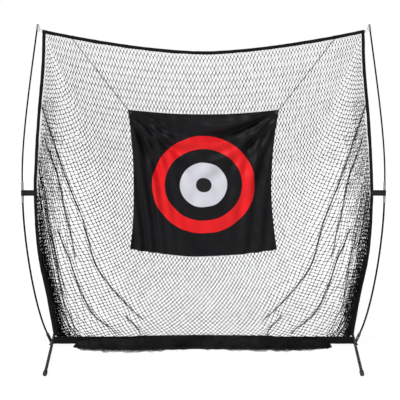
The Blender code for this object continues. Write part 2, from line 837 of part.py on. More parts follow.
def make_target():
    holes = []
    for side, _ in SIDES:
        centre = grommet_point(side)[0]
        holes.append(circle(centre.x, centre.z, GROMMET_BARREL + BORE_GAP, 12))
    place = Matrix.Translation((0.0, TARGET_Y, 0.0)) @ UPRIGHT
    panel = flat("target_panel", [target_outline(), *holes], TARGET_THICK, place, CLOTH)
    pieces = [panel]
    for side, word in SIDES:
        pieces.append(make_grommet(side, word))
        pieces.append(make_target_cord(side, word))
        make_tie(side, word)
    hinge = Matrix.Translation((0.0, TARGET_Y, cord_anchor(1)[0].z))
    hang_from(joint_empty("target_hinge", hinge), pieces)


def make_grommet(side, word):
    """A pressed eyelet: a barrel through the cloth with a lip on each face."""
    face = TARGET_THICK / 2 + BORE_GAP
    outside = face + GROMMET_LIP
    profile = (
        (GROMMET_R, outside),
        (GROMMET_R, face),
        (GROMMET_BARREL, face),
        (GROMMET_BARREL, -face),
        (GROMMET_R, -face),
        (GROMMET_R, -outside),
        (GROMMET_BORE, -outside),
        (GROMMET_BORE, outside),
    )
    place = along(grommet_point(side)[0], (0, 1, 0))
    return turned(f"target_grommet_{word}", profile, place, GREY_STEEL, SMALL_ROUND)


def make_target_cord(side, word):
    """From the top tape, down in front of the panel's corner and back through its grommet."""
    anchor = cord_anchor(side)[0]
    eye, down = grommet_point(side)
    front = TARGET_THICK / 2 + BORE_GAP + GROMMET_LIP + CORD_R + GAP
    forward = Vector((0.0, -front, 0.0))
    near = [
        eye - down * 0.060 + forward * 1.05,
        eye - down * 0.020 + forward * 1.08,
        eye - down * 0.006 + forward * 1.02,
        eye - down * 0.0016 + forward * 0.66,
        eye,
        eye + Vector((0.0, 0.0045, 0.0)),
    ]
    straight = [anchor.lerp(near[0], i / 8) for i in range(8)]
    line = [*straight[:-1], *smooth([straight[-1], *near], 3)]
    return wire(f"target_cord_{word}", line, CORD_R, TAPE, fineness=1)


def make_tie(side, word):
    """A cord whipping round the top tape, which a target cord hangs from."""
    anchor, slope = cord_anchor(side)
    half_thick = TAPE_THICK / 2 + BORE_GAP
    up = Vector((-side * math.sin(slope), 0.0, math.cos(slope)))
    inner = rectangle(half_thick, -GAP, TAPE_WIDTH + GAP)
    outer = rectangle(half_thick + TIE_THICK, -GAP - TIE_THICK, TAPE_WIDTH + GAP + TIE_THICK)
    run = Vector((side * math.cos(slope), 0.0, math.sin(slope)))
    axes = Matrix((up.cross(run), up, run)).transposed().to_4x4()
    place = Matrix.Translation((anchor.x, 0.0, anchor.z)) @ axes
    flat(f"target_tie_{word}", [outer, inner], 2 * TIE_HALF_WIDTH, place, TAPE)


def rectangle(half_width, low, high):
    return [(-half_width, low), (half_width, low), (half_width, high), (-half_width, high)]


def main():
    for side, word in SIDES:
        make_leg(side, word)
        make_hub(side, word)
        make_bar(side, word)
        make_pole(side, word)
    make_coupler()
    make_tapes()
    make_sleeve()
    make_ply("netting_front_ply", 0.0, 0.0)
    make_ply("netting_rear_ply", 2 * PLY_THICK, PLY_STEP)
    make_roll()
    make_target()


main()
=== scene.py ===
"""The golf hitting net dressed for its picture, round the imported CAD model.

Metres, +Z up, in the CAD's own frame. The netting's border lies in the plane Y = 0, the golfer stands at
-Y and the bag of netting hangs behind, towards +Y. The netting is real twine: each ply is a diamond net of
knots and bars that is dropped into the bag and left to settle under its own weight.
"""

import math

import bmesh
import bpy
import numpy as np
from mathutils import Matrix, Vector


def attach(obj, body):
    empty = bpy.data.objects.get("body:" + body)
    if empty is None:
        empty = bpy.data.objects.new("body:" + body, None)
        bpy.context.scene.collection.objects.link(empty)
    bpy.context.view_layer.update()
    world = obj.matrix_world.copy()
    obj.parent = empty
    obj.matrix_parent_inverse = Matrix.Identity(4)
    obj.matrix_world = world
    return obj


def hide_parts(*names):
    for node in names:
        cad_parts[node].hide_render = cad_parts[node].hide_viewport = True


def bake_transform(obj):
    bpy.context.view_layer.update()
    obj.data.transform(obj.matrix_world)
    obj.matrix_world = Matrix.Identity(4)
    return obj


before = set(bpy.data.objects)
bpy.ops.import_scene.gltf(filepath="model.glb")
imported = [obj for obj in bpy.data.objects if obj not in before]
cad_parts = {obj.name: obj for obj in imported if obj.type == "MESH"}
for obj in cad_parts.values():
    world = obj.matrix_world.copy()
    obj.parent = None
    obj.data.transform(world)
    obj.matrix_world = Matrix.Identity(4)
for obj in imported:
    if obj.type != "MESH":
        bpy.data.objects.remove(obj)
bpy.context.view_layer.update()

SIDES = ((-1, "left"), (1, "right"))

# Net border, as in the CAD
TAPE_WIDTH = 0.0215
TAPE_THICK = 0.0024
TOP_MID_Z = 1.9575
TOP_RISE = 0.1375
TOP_HALF = 1.036
TOP_POWER = 1.6
SIDE_EDGE = (  # outer edge of the side tape, from the sleeve up to the top tape
    (1.008, 0.076),
    (1.048, 0.335),
    (1.104, 0.650),
    (1.119, 1.000),
    (1.108, 1.250),
    (1.083, 1.550),
    (1.050, 1.850),
    (1.038, 2.068),
)
SLEEVE_HALF = 1.0085
SLEEVE_LOW = 0.0225
SLEEVE_HIGH = 0.0720
SLEEVE_HALF_DEPTH = 0.0136

# Bag: how far back the netting hangs on the middle line, by height
BAG_Z = (0.000, 0.024, 0.130, 0.350, 0.700, 1.150, 1.580, 1.934)
BAG_Y = (0.230, 0.250, 0.310, 0.330, 0.310, 0.235, 0.130, 0.000)
BAG_POWER = 3.2

# Netting: bars between knots, in two plies that hang a little apart
COLUMNS = 98
ROWS = 158  # even, because a ply starts and ends on a full row
BAR = 0.0207
TWINE_R = 0.00130
BUNCHED_TWINE_R = 0.0011
KNOT_R = 0.0047
COLUMN_SPREAD = 0.13  # how much wider a cell is cut in the middle than on average
PLY_FLOOR = 0.004
PLIES = (  # name, seed, and how far the ply lies from where the net settles
    ("front", 3, (0.000, 0.000, 0.000)),
    ("rear", 8, (0.0022, 0.0060, -0.0018)),
)
CREASES = (  # on the left, where the netting doubles over: how hard, then x and z down each line
    (1.00, ((-1.051, 1.608), (-0.989, 1.388), (-0.935, 1.188), (-0.873, 0.983), (-0.821, 0.821),
            (-0.762, 0.551), (-0.694, 0.418), (-0.612, 0.305), (-0.505, 0.183), (-0.425, 0.109))),
    (1.00, ((-0.986, 0.792), (-0.903, 0.545), (-0.857, 0.381), (-0.795, 0.228), (-0.728, 0.136),
            (-0.608, 0.040))),
    (0.85, ((-1.040, 1.400), (-1.022, 1.330), (-0.970, 1.155), (-0.945, 0.983), (-0.915, 0.800),
            (-0.878, 0.580))),
    (0.55, ((-1.022, 0.761), (-0.967, 0.428), (-0.937, 0.255), (-0.860, 0.066))),
    (0.90, ((-0.556, 0.150), (-0.500, 0.092), (-0.428, 0.030))),
)
CREASE_REACH = 0.036
CREASE_PULL = 0.90
CREASE_RISE = 0.020
EDGE_WIDTH = 0.34  # of the netting beside each side tape that is crowded towards it
EDGE_CROWD = {-1: 0.08, 1: 0.10}  # how hard, left and right
EDGE_RIPPLE = 0.012
FOLD_OFFSET = (0.0, 0.016, 0.007)
FOLD_ROWS = (0.10, 0.35, 0.65, 0.90)  # shares of the way down the side tapes
SIDE_FOLDS = (  # columns of net folded over beside the tapes at those rows, and how far apart they are drawn
    ((1, 4, 9, 11), 3.2),
    ((1, 1, 4, 5), 5.0),
)

# Surplus netting in a roll in front of the sleeve: x, height of its top, how far forward it lies
ROLL = (
    (-0.872, 0.010, 0.002),
    (-0.850, 0.034, 0.024),
    (-0.820, 0.050, 0.058),
    (-0.760, 0.064, 0.092),
    (-0.600, 0.074, 0.122),
    (-0.410, 0.082, 0.131),
    (-0.220, 0.092, 0.100),
    (-0.060, 0.097, 0.078),
    (0.080, 0.095, 0.088),
    (0.370, 0.085, 0.110),
    (0.600, 0.074, 0.104),
    (0.780, 0.060, 0.062),
    (0.820, 0.048, 0.048),
    (0.842, 0.032, 0.022),
    (0.862, 0.010, 0.002),
)
ROLL_BACK_Y = -0.0150
FRINGE = 0.080  # loose mesh on the floor in front, at most half of its reach

# Target
TARGET_SPAN = (0.984, 0.916)  # across and down its middle
TARGET_TOP = (0.492, 1.584)
TARGET_LOW = (0.486, 0.668)
TARGET_TOP_SAG = 0.030
TARGET_SIDE_SAG = (0.030, 0.042)  # left and right: it is hung a little askew
TARGET_LOW_SAG = 0.050
TARGET_Y = -0.0050
TARGET_THICK = 0.0009
HEM = 0.020
RING_CENTRE_Z = 1.0925
RING_OUTER = (0.338, 0.321)
RING_INNER = (0.254, 0.236)
DISC = (0.156, 0.146)
DOT = (0.050, 0.047)
GROMMET_INSET = 0.022
GROMMET_FACE = 0.0031  # how far its lip stands from the cloth's middle, with the cord's clearance
CORD_R = 0.0021
ANCHOR_X = 0.8445
SWING_BACK = math.radians(8)  # the joint's limit towards the net, which the cords must clear

# Poles' fittings that the straps and loops go round
BOW_X = 1.192
FERRULE_R = 0.0080
STRAP_Z = 1.040
STRAP_HEIGHT = 0.038
STRAP_THICK = 0.0018
TIP_X = 1.0685
TIP_Z = 2.117
TIP_TILT = math.radians(9.0)
NECK_UP = 0.0060
NECK_WRAP = 0.0058
CORNER_X = 1.0505
CORNER_Z = 2.0900
LOOP_R = 0.0012

# Camera and light
CAMERA_PLACE = (0.0, -4.04, 1.347)
CAMERA_DIP = math.radians(5)
CAMERA_LENS = 55.35
CAMERA_SHIFT = -0.00875
WORLD_LIGHT = 0.22  # on everything but the camera, which sees it as 1
SUN_LIGHT = 2.9
FILL_LIGHT = 8.0
FLOOR_GLOW = 0.95  # as from a lit table, so that it reads as white


# Shapes


def smooth(points, per_span):
    """Points on a smooth (Catmull-Rom) curve through the given ones."""
    known = np.asarray(points, float)
    ends = np.vstack([2 * known[0] - known[1], known, 2 * known[-1] - known[-2]])
    made = []
    for before, start, end, after in zip(ends, ends[1:], ends[2:], ends[3:], strict=False):
        for t in np.arange(per_span) / per_span:
            flow = (end - before) * t
            bend = (2 * before - 5 * start + 4 * end - after) * t * t
            turn = (3 * start - before - 3 * end + after) * t * t * t
            made.append(start + (flow + bend + turn) / 2)
    made.append(known[-1])
    return np.array(made)


SIDE_LINE = smooth(SIDE_EDGE, 4)


def top_edge_z(x):
    """Height of the top tape's upper edge."""
    return TOP_MID_Z + TOP_RISE * (np.abs(x) / TOP_HALF) ** TOP_POWER


def side_edge_x(z):
    """How far out the side tape's outer edge is at a height."""
    return np.interp(z, SIDE_LINE[:, 1], SIDE_LINE[:, 0])


def bag_depth(x, z):
    """How far back the bag's surface is at a place."""
    level = z * BAG_Z[-1] / (top_edge_z(x) - TAPE_WIDTH)
    across = np.clip(np.abs(x) / (side_edge_x(z) - TAPE_WIDTH), 0.0, 1.0)
    return np.interp(level, BAG_Z, BAG_Y) * (1 - across**BAG_POWER)


def unit(vectors):
    """The vectors at length 1."""
    return vectors / (np.linalg.norm(vectors, axis=-1, keepdims=True) + 1e-12)


def spaced(path, step):
    """The path again, with points about a step apart."""
    path = np.asarray(path, float)
    along = np.concatenate([[0.0], np.cumsum(np.linalg.norm(np.diff(path, axis=0), axis=1))])
    at = np.linspace(0.0, along[-1], max(2, round(along[-1] / step) + 1))
    return np.stack([np.interp(at, along, path[:, k]) for k in range(3)], axis=1)


def mesh_of(name, points, faces, material, runs=None):
    """An object from arrays of points and of faces, all with the same number of corners.

    runs gives each face corner's distances along and across the piece, for materials that follow it.
    """
    points = np.asarray(points, np.float32)
    faces = np.asarray(faces, np.int32)
    count, corners = faces.shape
    mesh = bpy.data.meshes.new(name)
    mesh.vertices.add(len(points))
    mesh.vertices.foreach_set("co", points.ravel())
    mesh.loops.add(count * corners)
    mesh.loops.foreach_set("vertex_index", faces.ravel())
    mesh.polygons.add(count)
    mesh.polygons.foreach_set("loop_start", np.arange(count, dtype=np.int32) * corners)
    mesh.polygons.foreach_set("use_smooth", np.ones(count, bool))
    if runs is not None:
        layer = mesh.uv_layers.new(name="run")
        layer.data.foreach_set("uv", np.asarray(runs, np.float32).ravel())
    mesh.update(calc_edges=True)
    mesh.materials.append(material)
    made = bpy.data.objects.new(name, mesh)
    bpy.context.collection.objects.link(made)
    return made


def loft(name, rings, material, closed=False):
    """A skin over rings of points, one after another, with its ends filled unless it closes on itself."""
    rings = np.asarray(rings, float)
    count, around = rings.shape[:2]
    spans = count if closed else count - 1
    first = (np.arange(spans) * around)[:, None]
    second = ((np.arange(spans) + 1) % count * around)[:, None]
    here = np.arange(around)[None, :]
    after = (here + 1) % around
    faces = np.stack([first + here, first + after, second + after, second + here], axis=-1).reshape(-1, 4)
    ahead = np.roll(rings, -1, axis=0)
    along = np.concatenate([[0.0], np.cumsum(np.linalg.norm(ahead - rings, axis=2).mean(1))])
    beside = np.roll(rings, -1, axis=1)
    round_it = np.concatenate([[0.0], np.cumsum(np.linalg.norm(beside - rings, axis=2).mean(0))])
    low, high = along[:spans, None], along[1 : spans + 1, None]
    left, right = round_it[None, :around], round_it[None, 1 : around + 1]
    corners = ((low, left), (low, right), (high, right), (high, left))
    runs = np.stack([np.stack(np.broadcast_arrays(u, v), axis=-1) for u, v in corners], axis=2)
    made = mesh_of(name, rings.reshape(-1, 3), faces, material, runs.reshape(-1, 2))
    shape = bmesh.new()
    shape.from_mesh(made.data)
    if not closed:
        rim = [edge for edge in shape.edges if edge.is_boundary]
        bmesh.ops.holes_fill(shape, edges=rim, sides=0)
    bmesh.ops.recalc_face_normals(shape, faces=shape.faces[:])
    shape.to_mesh(made.data)
    shape.free()
    return made


def tube_rings(path, radius, sides, twist=0.0, closed=False):
    """The rings of a mitred tube along a path."""
    path = np.asarray(path, float)
    run = unit(np.diff(path, axis=0))
    if closed:
        run = np.vstack([run, unit(path[:1] - path[-1:])])
        ahead, behind = run, np.roll(run, 1, axis=0)
    else:
        ahead, behind = np.vstack([run, run[-1:]]), np.vstack([run[:1], run])
    along = unit(ahead + behind)
    upward = np.cross(along, (0.0, 1.0, 0.0))
    steep = np.linalg.norm(upward, axis=1) < 0.2
    upward[steep] = np.cross(along[steep], (1.0, 0.0, 0.0))
    upward = unit(upward)
    bend = ahead - behind
    bend -= along * (bend * along).sum(1, keepdims=True)
    bent = np.linalg.norm(bend, axis=1, keepdims=True) > 0.2
    bend = np.where(bent, unit(bend), upward)
    bend *= np.where((bend * upward).sum(1, keepdims=True) < 0, -1.0, 1.0)
    other = np.cross(along, bend)
    stretch = np.where(bent, 1 / np.clip((along * ahead).sum(1, keepdims=True), 0.45, 1.0), 1.0)
    angles = twist + 2 * math.pi * np.arange(sides) / sides
    turned = np.cos(angles)[None, :, None] * (bend * stretch)[:, None, :]
    turned = turned + np.sin(angles)[None, :, None] * other[:, None, :]
    return path[:, None, :] + turned * np.asarray(radius).reshape(-1, 1, 1)


def twines(name, paths, radius, material, sides=3):
    """One piece of many tubes, each along its own path and drawn in at its ends."""
    points, faces, count = [], [], 0
    here = np.arange(sides)[None, :]
    after = (here + 1) % sides
    for number, path in enumerate(paths):
        radii = np.full(len(path), radius)
        radii[[0, -1]] *= 0.15
        points.append(tube_rings(path, radii, sides, 0.7 * number).reshape(-1, 3))
        start = count + (np.arange(len(path) - 1) * sides)[:, None]
        quads = [start + here, start + after, start + sides + after, start + sides + here]
        faces.append(np.stack(quads, axis=-1).reshape(-1, 4))
        count += len(path) * sides
    return mesh_of(name, np.vstack(points), np.vstack(faces), material)


def lumps(name, centres, reach, radius, material):
    """A small eight-sided lump at each centre, which reaches that far from it both ways."""
    centres, reach = np.asarray(centres, float), np.asarray(reach, float)
    side = unit(np.cross(reach, (0.031, 1.0, 0.017))) * np.asarray(radius).reshape(-1, 1)
    front = unit(np.cross(side, reach)) * np.asarray(radius).reshape(-1, 1)
    corners = np.stack([side, front, -side, -front, reach, -reach], axis=1)
    sides = np.array(
        [(1, 0, 4), (2, 1, 4), (3, 2, 4), (0, 3, 4), (0, 1, 5), (1, 2, 5), (2, 3, 5), (3, 0, 5)]
    )
    faces = sides[None] + 6 * np.arange(len(centres))[:, None, None]
    return mesh_of(name, (centres[:, None] + corners).reshape(-1, 3), faces.reshape(-1, 3), material)


def stitches(name, lines, material, spacing=0.0045, radius=0.00045):
    """Short dashes of thread along each line of points."""
    centres, reach = [], []
    for line in lines:
        points = spaced(line, spacing)
        centres.append((points[1:] + points[:-1]) / 2)
        reach.append(np.diff(points, axis=0) * 0.39)
    return lumps(name, np.vstack(centres), np.vstack(reach), radius, material)


def placed(pieces, body, slot, *nodes):
    """The pieces ride on a body and stand for these CAD nodes, which are hidden. The slot is not used."""
    for piece in pieces:
        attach(piece, body)
        if nodes:
            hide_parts(*nodes)


# Material nodes


def new_material(name, **sockets):
    """A material, its node tree and its shader. Sockets are named with _ for a space."""
    made = bpy.data.materials.new(name)
    made.use_nodes = True
    shader = made.node_tree.nodes["Principled BSDF"]
    for socket, value in sockets.items():
        shader.inputs[socket.replace("_", " ")].default_value = value
    return made, made.node_tree, shader


def node(tree, kind, inputs=(), **settings):
    """A node with its settings and its inputs set or linked. Returns it."""
    made = tree.nodes.new("ShaderNode" + kind)
    for key, value in settings.items():
        setattr(made, key, value)
    for socket, value in dict(inputs).items():
        if isinstance(value, bpy.types.NodeSocket):
            tree.links.new(value, made.inputs[socket])
        else:
            made.inputs[socket].default_value = value
    return made


def place_of(tree):
    """The point on the piece, in metres."""
    return node(tree, "TexCoord").outputs["Object"]


def noise(tree, where, scale, detail=3.0, roughness=0.55):
    """Cloudy values about 0.5, that many to a metre."""
    sockets = {"Vector": where, "Scale": scale, "Detail": detail, "Roughness": roughness}
    made = node(tree, "TexNoise", sockets)
    return made.outputs["Fac"]


def spread(tree, value, low, high, to_low, to_high):
    """The value, moved from one range to another and held to it."""
    sockets = {"Value": value, "From Min": low, "From Max": high, "To Min": to_low, "To Max": to_high}
    return node(tree, "MapRange", sockets).outputs["Result"]


def blend_colour(tree, factor, low, high):
    """From the low colour at 0 to the high one at 1."""
    made = node(tree, "Mix", data_type="RGBA")
    for index, value in ((0, factor), (6, low), (7, high)):
        if isinstance(value, bpy.types.NodeSocket):
            tree.links.new(value, made.inputs[index])
        else:
            made.inputs[index].default_value = (*value, 1.0) if index else value
    return made.outputs[2]


def maths(tree, kind, first, second=0.0):
    made = node(tree, "Math", {0: first, 1: second}, operation=kind)
    return made.outputs[0]


def bumped(tree, shader, height, distance, strength=1.0):
    bump = node(tree, "Bump", {"Height": height, "Distance": distance, "Strength": strength})
    tree.links.new(bump.outputs["Normal"], shader.inputs["Normal"])


def painted(tree, shader, colour, roughness):
    tree.links.new(colour, shader.inputs["Base Color"])
    tree.links.new(roughness, shader.inputs["Roughness"])


def twine_material(name, painted_sheen):
    """Black twisted polyester twine, painted that many times paler than the plain twine as a painted sheen
    (above 1 for the bunched netting).
    """
    made, tree, shader = new_material(name, Specular_IOR_Level=0.08 * painted_sheen)
    where = place_of(tree)
    cloudy = noise(tree, where, 9.0)
    fibres = noise(tree, where, 1400.0)
    dusty = spread(tree, cloudy, 0.35, 0.7, 0.0, 1.0)
    greys = ((0.004, 0.004, 0.0045), (0.012, 0.012, 0.013))
    # painted sheen: both greys scaled up together where the twine lies bunched
    dark, pale = [tuple(painted_sheen * value for value in grey) for grey in greys]
    colour = blend_colour(tree, dusty, dark, pale)
    painted(tree, shader, colour, spread(tree, fibres, 0.3, 0.7, 0.6, 0.95))
    bumped(tree, shader, fibres, 0.0003, 0.6)
    return made


def place_on(tree, across=1.0):
    """The point along and round a lofted piece, in metres, from its UVs."""
    where = node(tree, "UVMap", uv_map="run").outputs["UV"]
    return node(tree, "VectorMath", {0: where, 1: (1.0, across, 1.0)}, operation="MULTIPLY").outputs[0]


def ribs(tree, where, pitch, direction):
    """Even ribs that far apart, softened at random."""
    sockets = {
        "Vector": where,
        "Scale": 0.314 / pitch,
        "Distortion": 0.6,
        "Detail": 1.0,
        "Detail Scale": 2.0,
    }
    return node(tree, "TexWave", sockets, bands_direction=direction).outputs["Fac"]


def woven_material(name, dark, light, pitch, sheen=0.04):
    """Woven tape or cloth, with its threads running along and across the piece."""
    made, tree, shader = new_material(name, Specular_IOR_Level=0.08, Sheen_Weight=sheen, Sheen_Roughness=0.6)
    where = place_on(tree)
    weft = ribs(tree, where, pitch, "X")
    warp = ribs(tree, where, pitch * 1.3, "Y")
    weave = maths(tree, "MULTIPLY", weft, warp)
    worn = noise(tree, place_of(tree), 24.0)
    fuzz = noise(tree, where, 2600.0)
    shade = maths(tree, "ADD", maths(tree, "MULTIPLY", weave, 0.5), maths(tree, "MULTIPLY", worn, 0.6))
    colour = blend_colour(tree, spread(tree, shade, 0.2, 0.8, 0.0, 1.0), dark, light)
    painted(tree, shader, colour, spread(tree, fuzz, 0.3, 0.7, 0.62, 0.92))
    bumped(tree, shader, maths(tree, "ADD", weave, maths(tree, "MULTIPLY", fuzz, 0.3)), 0.0005, 0.8)
    return made


def strap_material():
    """Black webbing, greyer in the middle of its width than along its bound borders."""
    made, tree, shader = new_material("strap_webbing", Specular_IOR_Level=0.12, Sheen_Weight=0.05)
    where = place_on(tree)
    height = node(tree, "SeparateXYZ", {"Vector": place_of(tree)}).outputs["Z"]
    border = maths(tree, "ABSOLUTE", maths(tree, "SUBTRACT", height, STRAP_Z))
    middle = spread(tree, border, 0.0095, 0.0125, 1.0, 0.0)
    weave = maths(tree, "MULTIPLY", ribs(tree, where, 0.0011, "X"), ribs(tree, where, 0.0016, "Y"))
    worn = noise(tree, place_of(tree), 60.0)
    lighter = maths(tree, "MULTIPLY", middle, spread(tree, worn, 0.3, 0.7, 0.6, 1.0))
    colour = blend_colour(tree, lighter, (0.004, 0.004, 0.0045), (0.017, 0.017, 0.018))
    painted(tree, shader, colour, spread(tree, weave, 0.0, 1.0, 0.65, 0.9))
    bumped(tree, shader, weave, 0.0005, 0.8)
    return made


def in_ellipse(tree, x, z, half_sizes, soft=0.0012):
    """1 inside an ellipse round the target's centre, 0 outside, with a printed edge."""
    half_x, half_z = half_sizes
    across = maths(tree, "DIVIDE", x, half_x)
    up = maths(tree, "DIVIDE", maths(tree, "SUBTRACT", z, RING_CENTRE_Z), half_z)
    squares = maths(tree, "ADD", maths(tree, "MULTIPLY", across, across), maths(tree, "MULTIPLY", up, up))
    edge = soft / half_x
    return spread(tree, maths(tree, "SQRT", squares), 1.0 - edge, 1.0 + edge, 1.0, 0.0)


def target_material():
    """Black woven polyester, printed with a red ring, a pale disc and a black spot in the middle."""
    made, tree, shader = new_material(
        "target_cloth", Specular_IOR_Level=0.16, Sheen_Weight=0.03, Sheen_Roughness=0.45
    )
    where = place_of(tree)
    parts = node(tree, "SeparateXYZ", {"Vector": where}).outputs
    # the printed rings wander by some millimetres, and their edges waver by half a millimetre where ink
    # has crept along the threads
    crept = maths(tree, "MULTIPLY", maths(tree, "SUBTRACT", noise(tree, where, 260.0), 0.5), 0.0012)
    sway = maths(tree, "MULTIPLY", maths(tree, "SUBTRACT", noise(tree, where, 6.0, 1.0), 0.5), 0.014)
    lift = maths(tree, "MULTIPLY", maths(tree, "SUBTRACT", noise(tree, where, 8.3, 1.0), 0.5), 0.010)
    x = maths(tree, "ADD", maths(tree, "ADD", parts["X"], crept), sway)
    z = maths(tree, "ADD", parts["Z"], lift)
    flat = node(tree, "CombineXYZ", {"X": parts["X"], "Y": 0.0, "Z": parts["Z"]}).outputs[0]
    weave = maths(tree, "MULTIPLY", ribs(tree, flat, 0.0010, "X"), ribs(tree, flat, 0.0010, "Z"))
    cloudy = noise(tree, where, 5.5)
    fuzz = noise(tree, where, 900.0)
    mottle = maths(tree, "ADD", maths(tree, "MULTIPLY", weave, 0.35), maths(tree, "MULTIPLY", cloudy, 0.8))
    shade = spread(tree, mottle, 0.2, 0.8, 0.0, 1.0)
    cloth = blend_colour(tree, shade, (0.0020, 0.0020, 0.0028), (0.0050, 0.0050, 0.0068))
    red = blend_colour(tree, shade, (0.64, 0.007, 0.010), (0.78, 0.011, 0.016))
    pale = blend_colour(tree, shade, (0.52, 0.52, 0.575), (0.66, 0.66, 0.72))
    ring = maths(tree, "SUBTRACT", in_ellipse(tree, x, z, RING_OUTER), in_ellipse(tree, x, z, RING_INNER))
    colour = blend_colour(tree, ring, cloth, red)
    colour = blend_colour(tree, in_ellipse(tree, x, z, DISC), colour, pale)
    colour = blend_colour(tree, in_ellipse(tree, x, z, DOT), colour, (0.012, 0.012, 0.014))
    ink = maths(tree, "ADD", ring, in_ellipse(tree, x, z, DISC))
    smoother = maths(tree, "MULTIPLY", ink, 0.06)
    gloss = maths(tree, "SUBTRACT", spread(tree, fuzz, 0.3, 0.7, 0.46, 0.62), smoother)
    painted(tree, shader, colour, gloss)
    height = maths(tree, "ADD", maths(tree, "MULTIPLY", weave, 0.6), maths(tree, "MULTIPLY", fuzz, 0.4))
    bumped(tree, shader, height, 0.00035, 0.7)
    return made


def bundle_material():
    """The inside of bunched netting: dark, with the mesh of its many layers showing; its strands painted
    lighter than the painted shade between them, and painted lit and shaded along its folds.
    """
    made, tree, shader = new_material("bunched_netting", Specular_IOR_Level=0.05, Roughness=0.9)
    where = place_of(tree)
    cells = node(tree, "TexVoronoi", {"Vector": where, "Scale": 95.0}, feature="DISTANCE_TO_EDGE")
    strands = spread(tree, cells.outputs["Distance"], 0.02, 0.14, 1.0, 0.0)
    folds = noise(tree, where, 18.0)
    # painted light and shade: strands lit where a fold faces the light, the gaps between them painted shade
    lit = maths(tree, "MULTIPLY", strands, spread(tree, folds, 0.35, 0.65, 0.3, 1.0))
    colour = blend_colour(tree, lit, (0.002, 0.002, 0.0022), (0.010, 0.010, 0.011))
    painted(tree, shader, colour, spread(tree, folds, 0.3, 0.7, 0.75, 0.95))
    bumped(tree, shader, strands, 0.0020, 1.0)
    return made


def braid_material(name, dark, light):
    """Braided cord: its strands cross in a fine diamond pattern."""
    made, tree, shader = new_material(name, Specular_IOR_Level=0.12, Sheen_Weight=0.05)
    where = place_on(tree, 1.2)
    one = ribs(tree, where, 0.0011, "DIAGONAL")
    mirrored = node(tree, "VectorMath", {0: where, 1: (1.0, -1.0, 1.0)}, operation="MULTIPLY").outputs[0]
    other = ribs(tree, mirrored, 0.0011, "DIAGONAL")
    braid = maths(tree, "MAXIMUM", one, other)
    colour = blend_colour(tree, braid, dark, light)
    painted(tree, shader, colour, spread(tree, noise(tree, where, 900.0), 0.3, 0.7, 0.6, 0.9))
    bumped(tree, shader, braid, 0.0004, 0.9)
    return made


def thread_material(name, base):
    """Sewing thread, lighter where its twist catches the light."""
    made, tree, shader = new_material(name, Specular_IOR_Level=0.12, Sheen_Weight=0.05)
    where = place_of(tree)
    twist = noise(tree, where, 1800.0)
    lighter = tuple(min(1.0, 1.7 * value) for value in base)
    colour = blend_colour(tree, spread(tree, twist, 0.35, 0.65, 0.0, 1.0), base, lighter)
    painted(tree, shader, colour, spread(tree, twist, 0.3, 0.7, 0.5, 0.8))
    bumped(tree, shader, twist, 0.0002, 0.5)
    return made


def edges_worn(tree, scale):
    """Where paint or plating has rubbed thin: edges, broken up at random."""
    point = node(tree, "NewGeometry").outputs["Pointiness"]
    edge = spread(tree, point, 0.52, 0.60, 0.0, 1.0)
    patches = spread(tree, noise(tree, place_of(tree), scale), 0.45, 0.6, 0.0, 1.0)
    return maths(tree, "MULTIPLY", edge, patches)


def powder_coat():
    """Satin black powder coat on steel tube: fine orange peel, dusty, rubbed at the edges."""
    made, tree, shader = new_material("powder_coat", Specular_IOR_Level=0.22)
    where = place_of(tree)
    peel = noise(tree, where, 520.0, 2.0)
    dust = noise(tree, where, 7.0)
    dusty = spread(tree, dust, 0.35, 0.7, 0.0, 1.0)
    colour = blend_colour(tree, dusty, (0.006, 0.006, 0.0065), (0.013, 0.013, 0.014))
    worn = edges_worn(tree, 60.0)
    colour = blend_colour(tree, worn, colour, (0.16, 0.16, 0.165))
    rough = maths(tree, "ADD", spread(tree, dust, 0.3, 0.7, 0.36, 0.50), maths(tree, "MULTIPLY", peel, 0.08))
    painted(tree, shader, colour, rough)
    tree.links.new(maths(tree, "MULTIPLY", worn, 0.7), shader.inputs["Metallic"])
    bumped(tree, shader, peel, 0.00025, 0.5)
    return made


def plated_steel(name, low, high, roughness):
    """Zinc-plated or bright steel, brushed along its length, with faint stains."""
    made, tree, shader = new_material(name, Metallic=1.0)
    where = place_of(tree)
    drawn = node(tree, "VectorMath", {0: where, 1: (0.06, 1.0, 1.0)}, operation="MULTIPLY").outputs[0]
    lines = noise(tree, drawn, 2200.0, 2.0)
    stain = noise(tree, where, 70.0)
    mix = maths(tree, "ADD", maths(tree, "MULTIPLY", lines, 0.4), maths(tree, "MULTIPLY", stain, 0.6))
    colour = blend_colour(tree, spread(tree, mix, 0.3, 0.7, 0.0, 1.0), low, high)
    painted(tree, shader, colour, spread(tree, mix, 0.3, 0.7, roughness, roughness + 0.18))
    bumped(tree, shader, lines, 0.00008, 0.5)
    return made


def fibreglass():
    """Smooth black pultruded rod, with its glass strands faint along it and light scuffs."""
    gloss = {"Specular_IOR_Level": 0.10, "Coat_Weight": 0.02, "Coat_Roughness": 0.2}
    made, tree, shader = new_material("fibreglass_rod", **gloss)
    where = place_of(tree)
    along = node(tree, "VectorMath", {0: where, 1: (1.0, 1.0, 0.03)}, operation="MULTIPLY").outputs[0]
    strands = noise(tree, along, 1500.0, 2.0)
    scuffs = spread(tree, noise(tree, where, 38.0, 6.0, 0.7), 0.55, 0.75, 0.0, 1.0)
    colour = blend_colour(tree, strands, (0.002, 0.002, 0.0022), (0.005, 0.005, 0.0055))
    colour = blend_colour(tree, scuffs, colour, (0.011, 0.011, 0.012))
    painted(tree, shader, colour, spread(tree, scuffs, 0.0, 1.0, 0.36, 0.6))
    bumped(tree, shader, strands, 0.00008, 0.6)
    return made


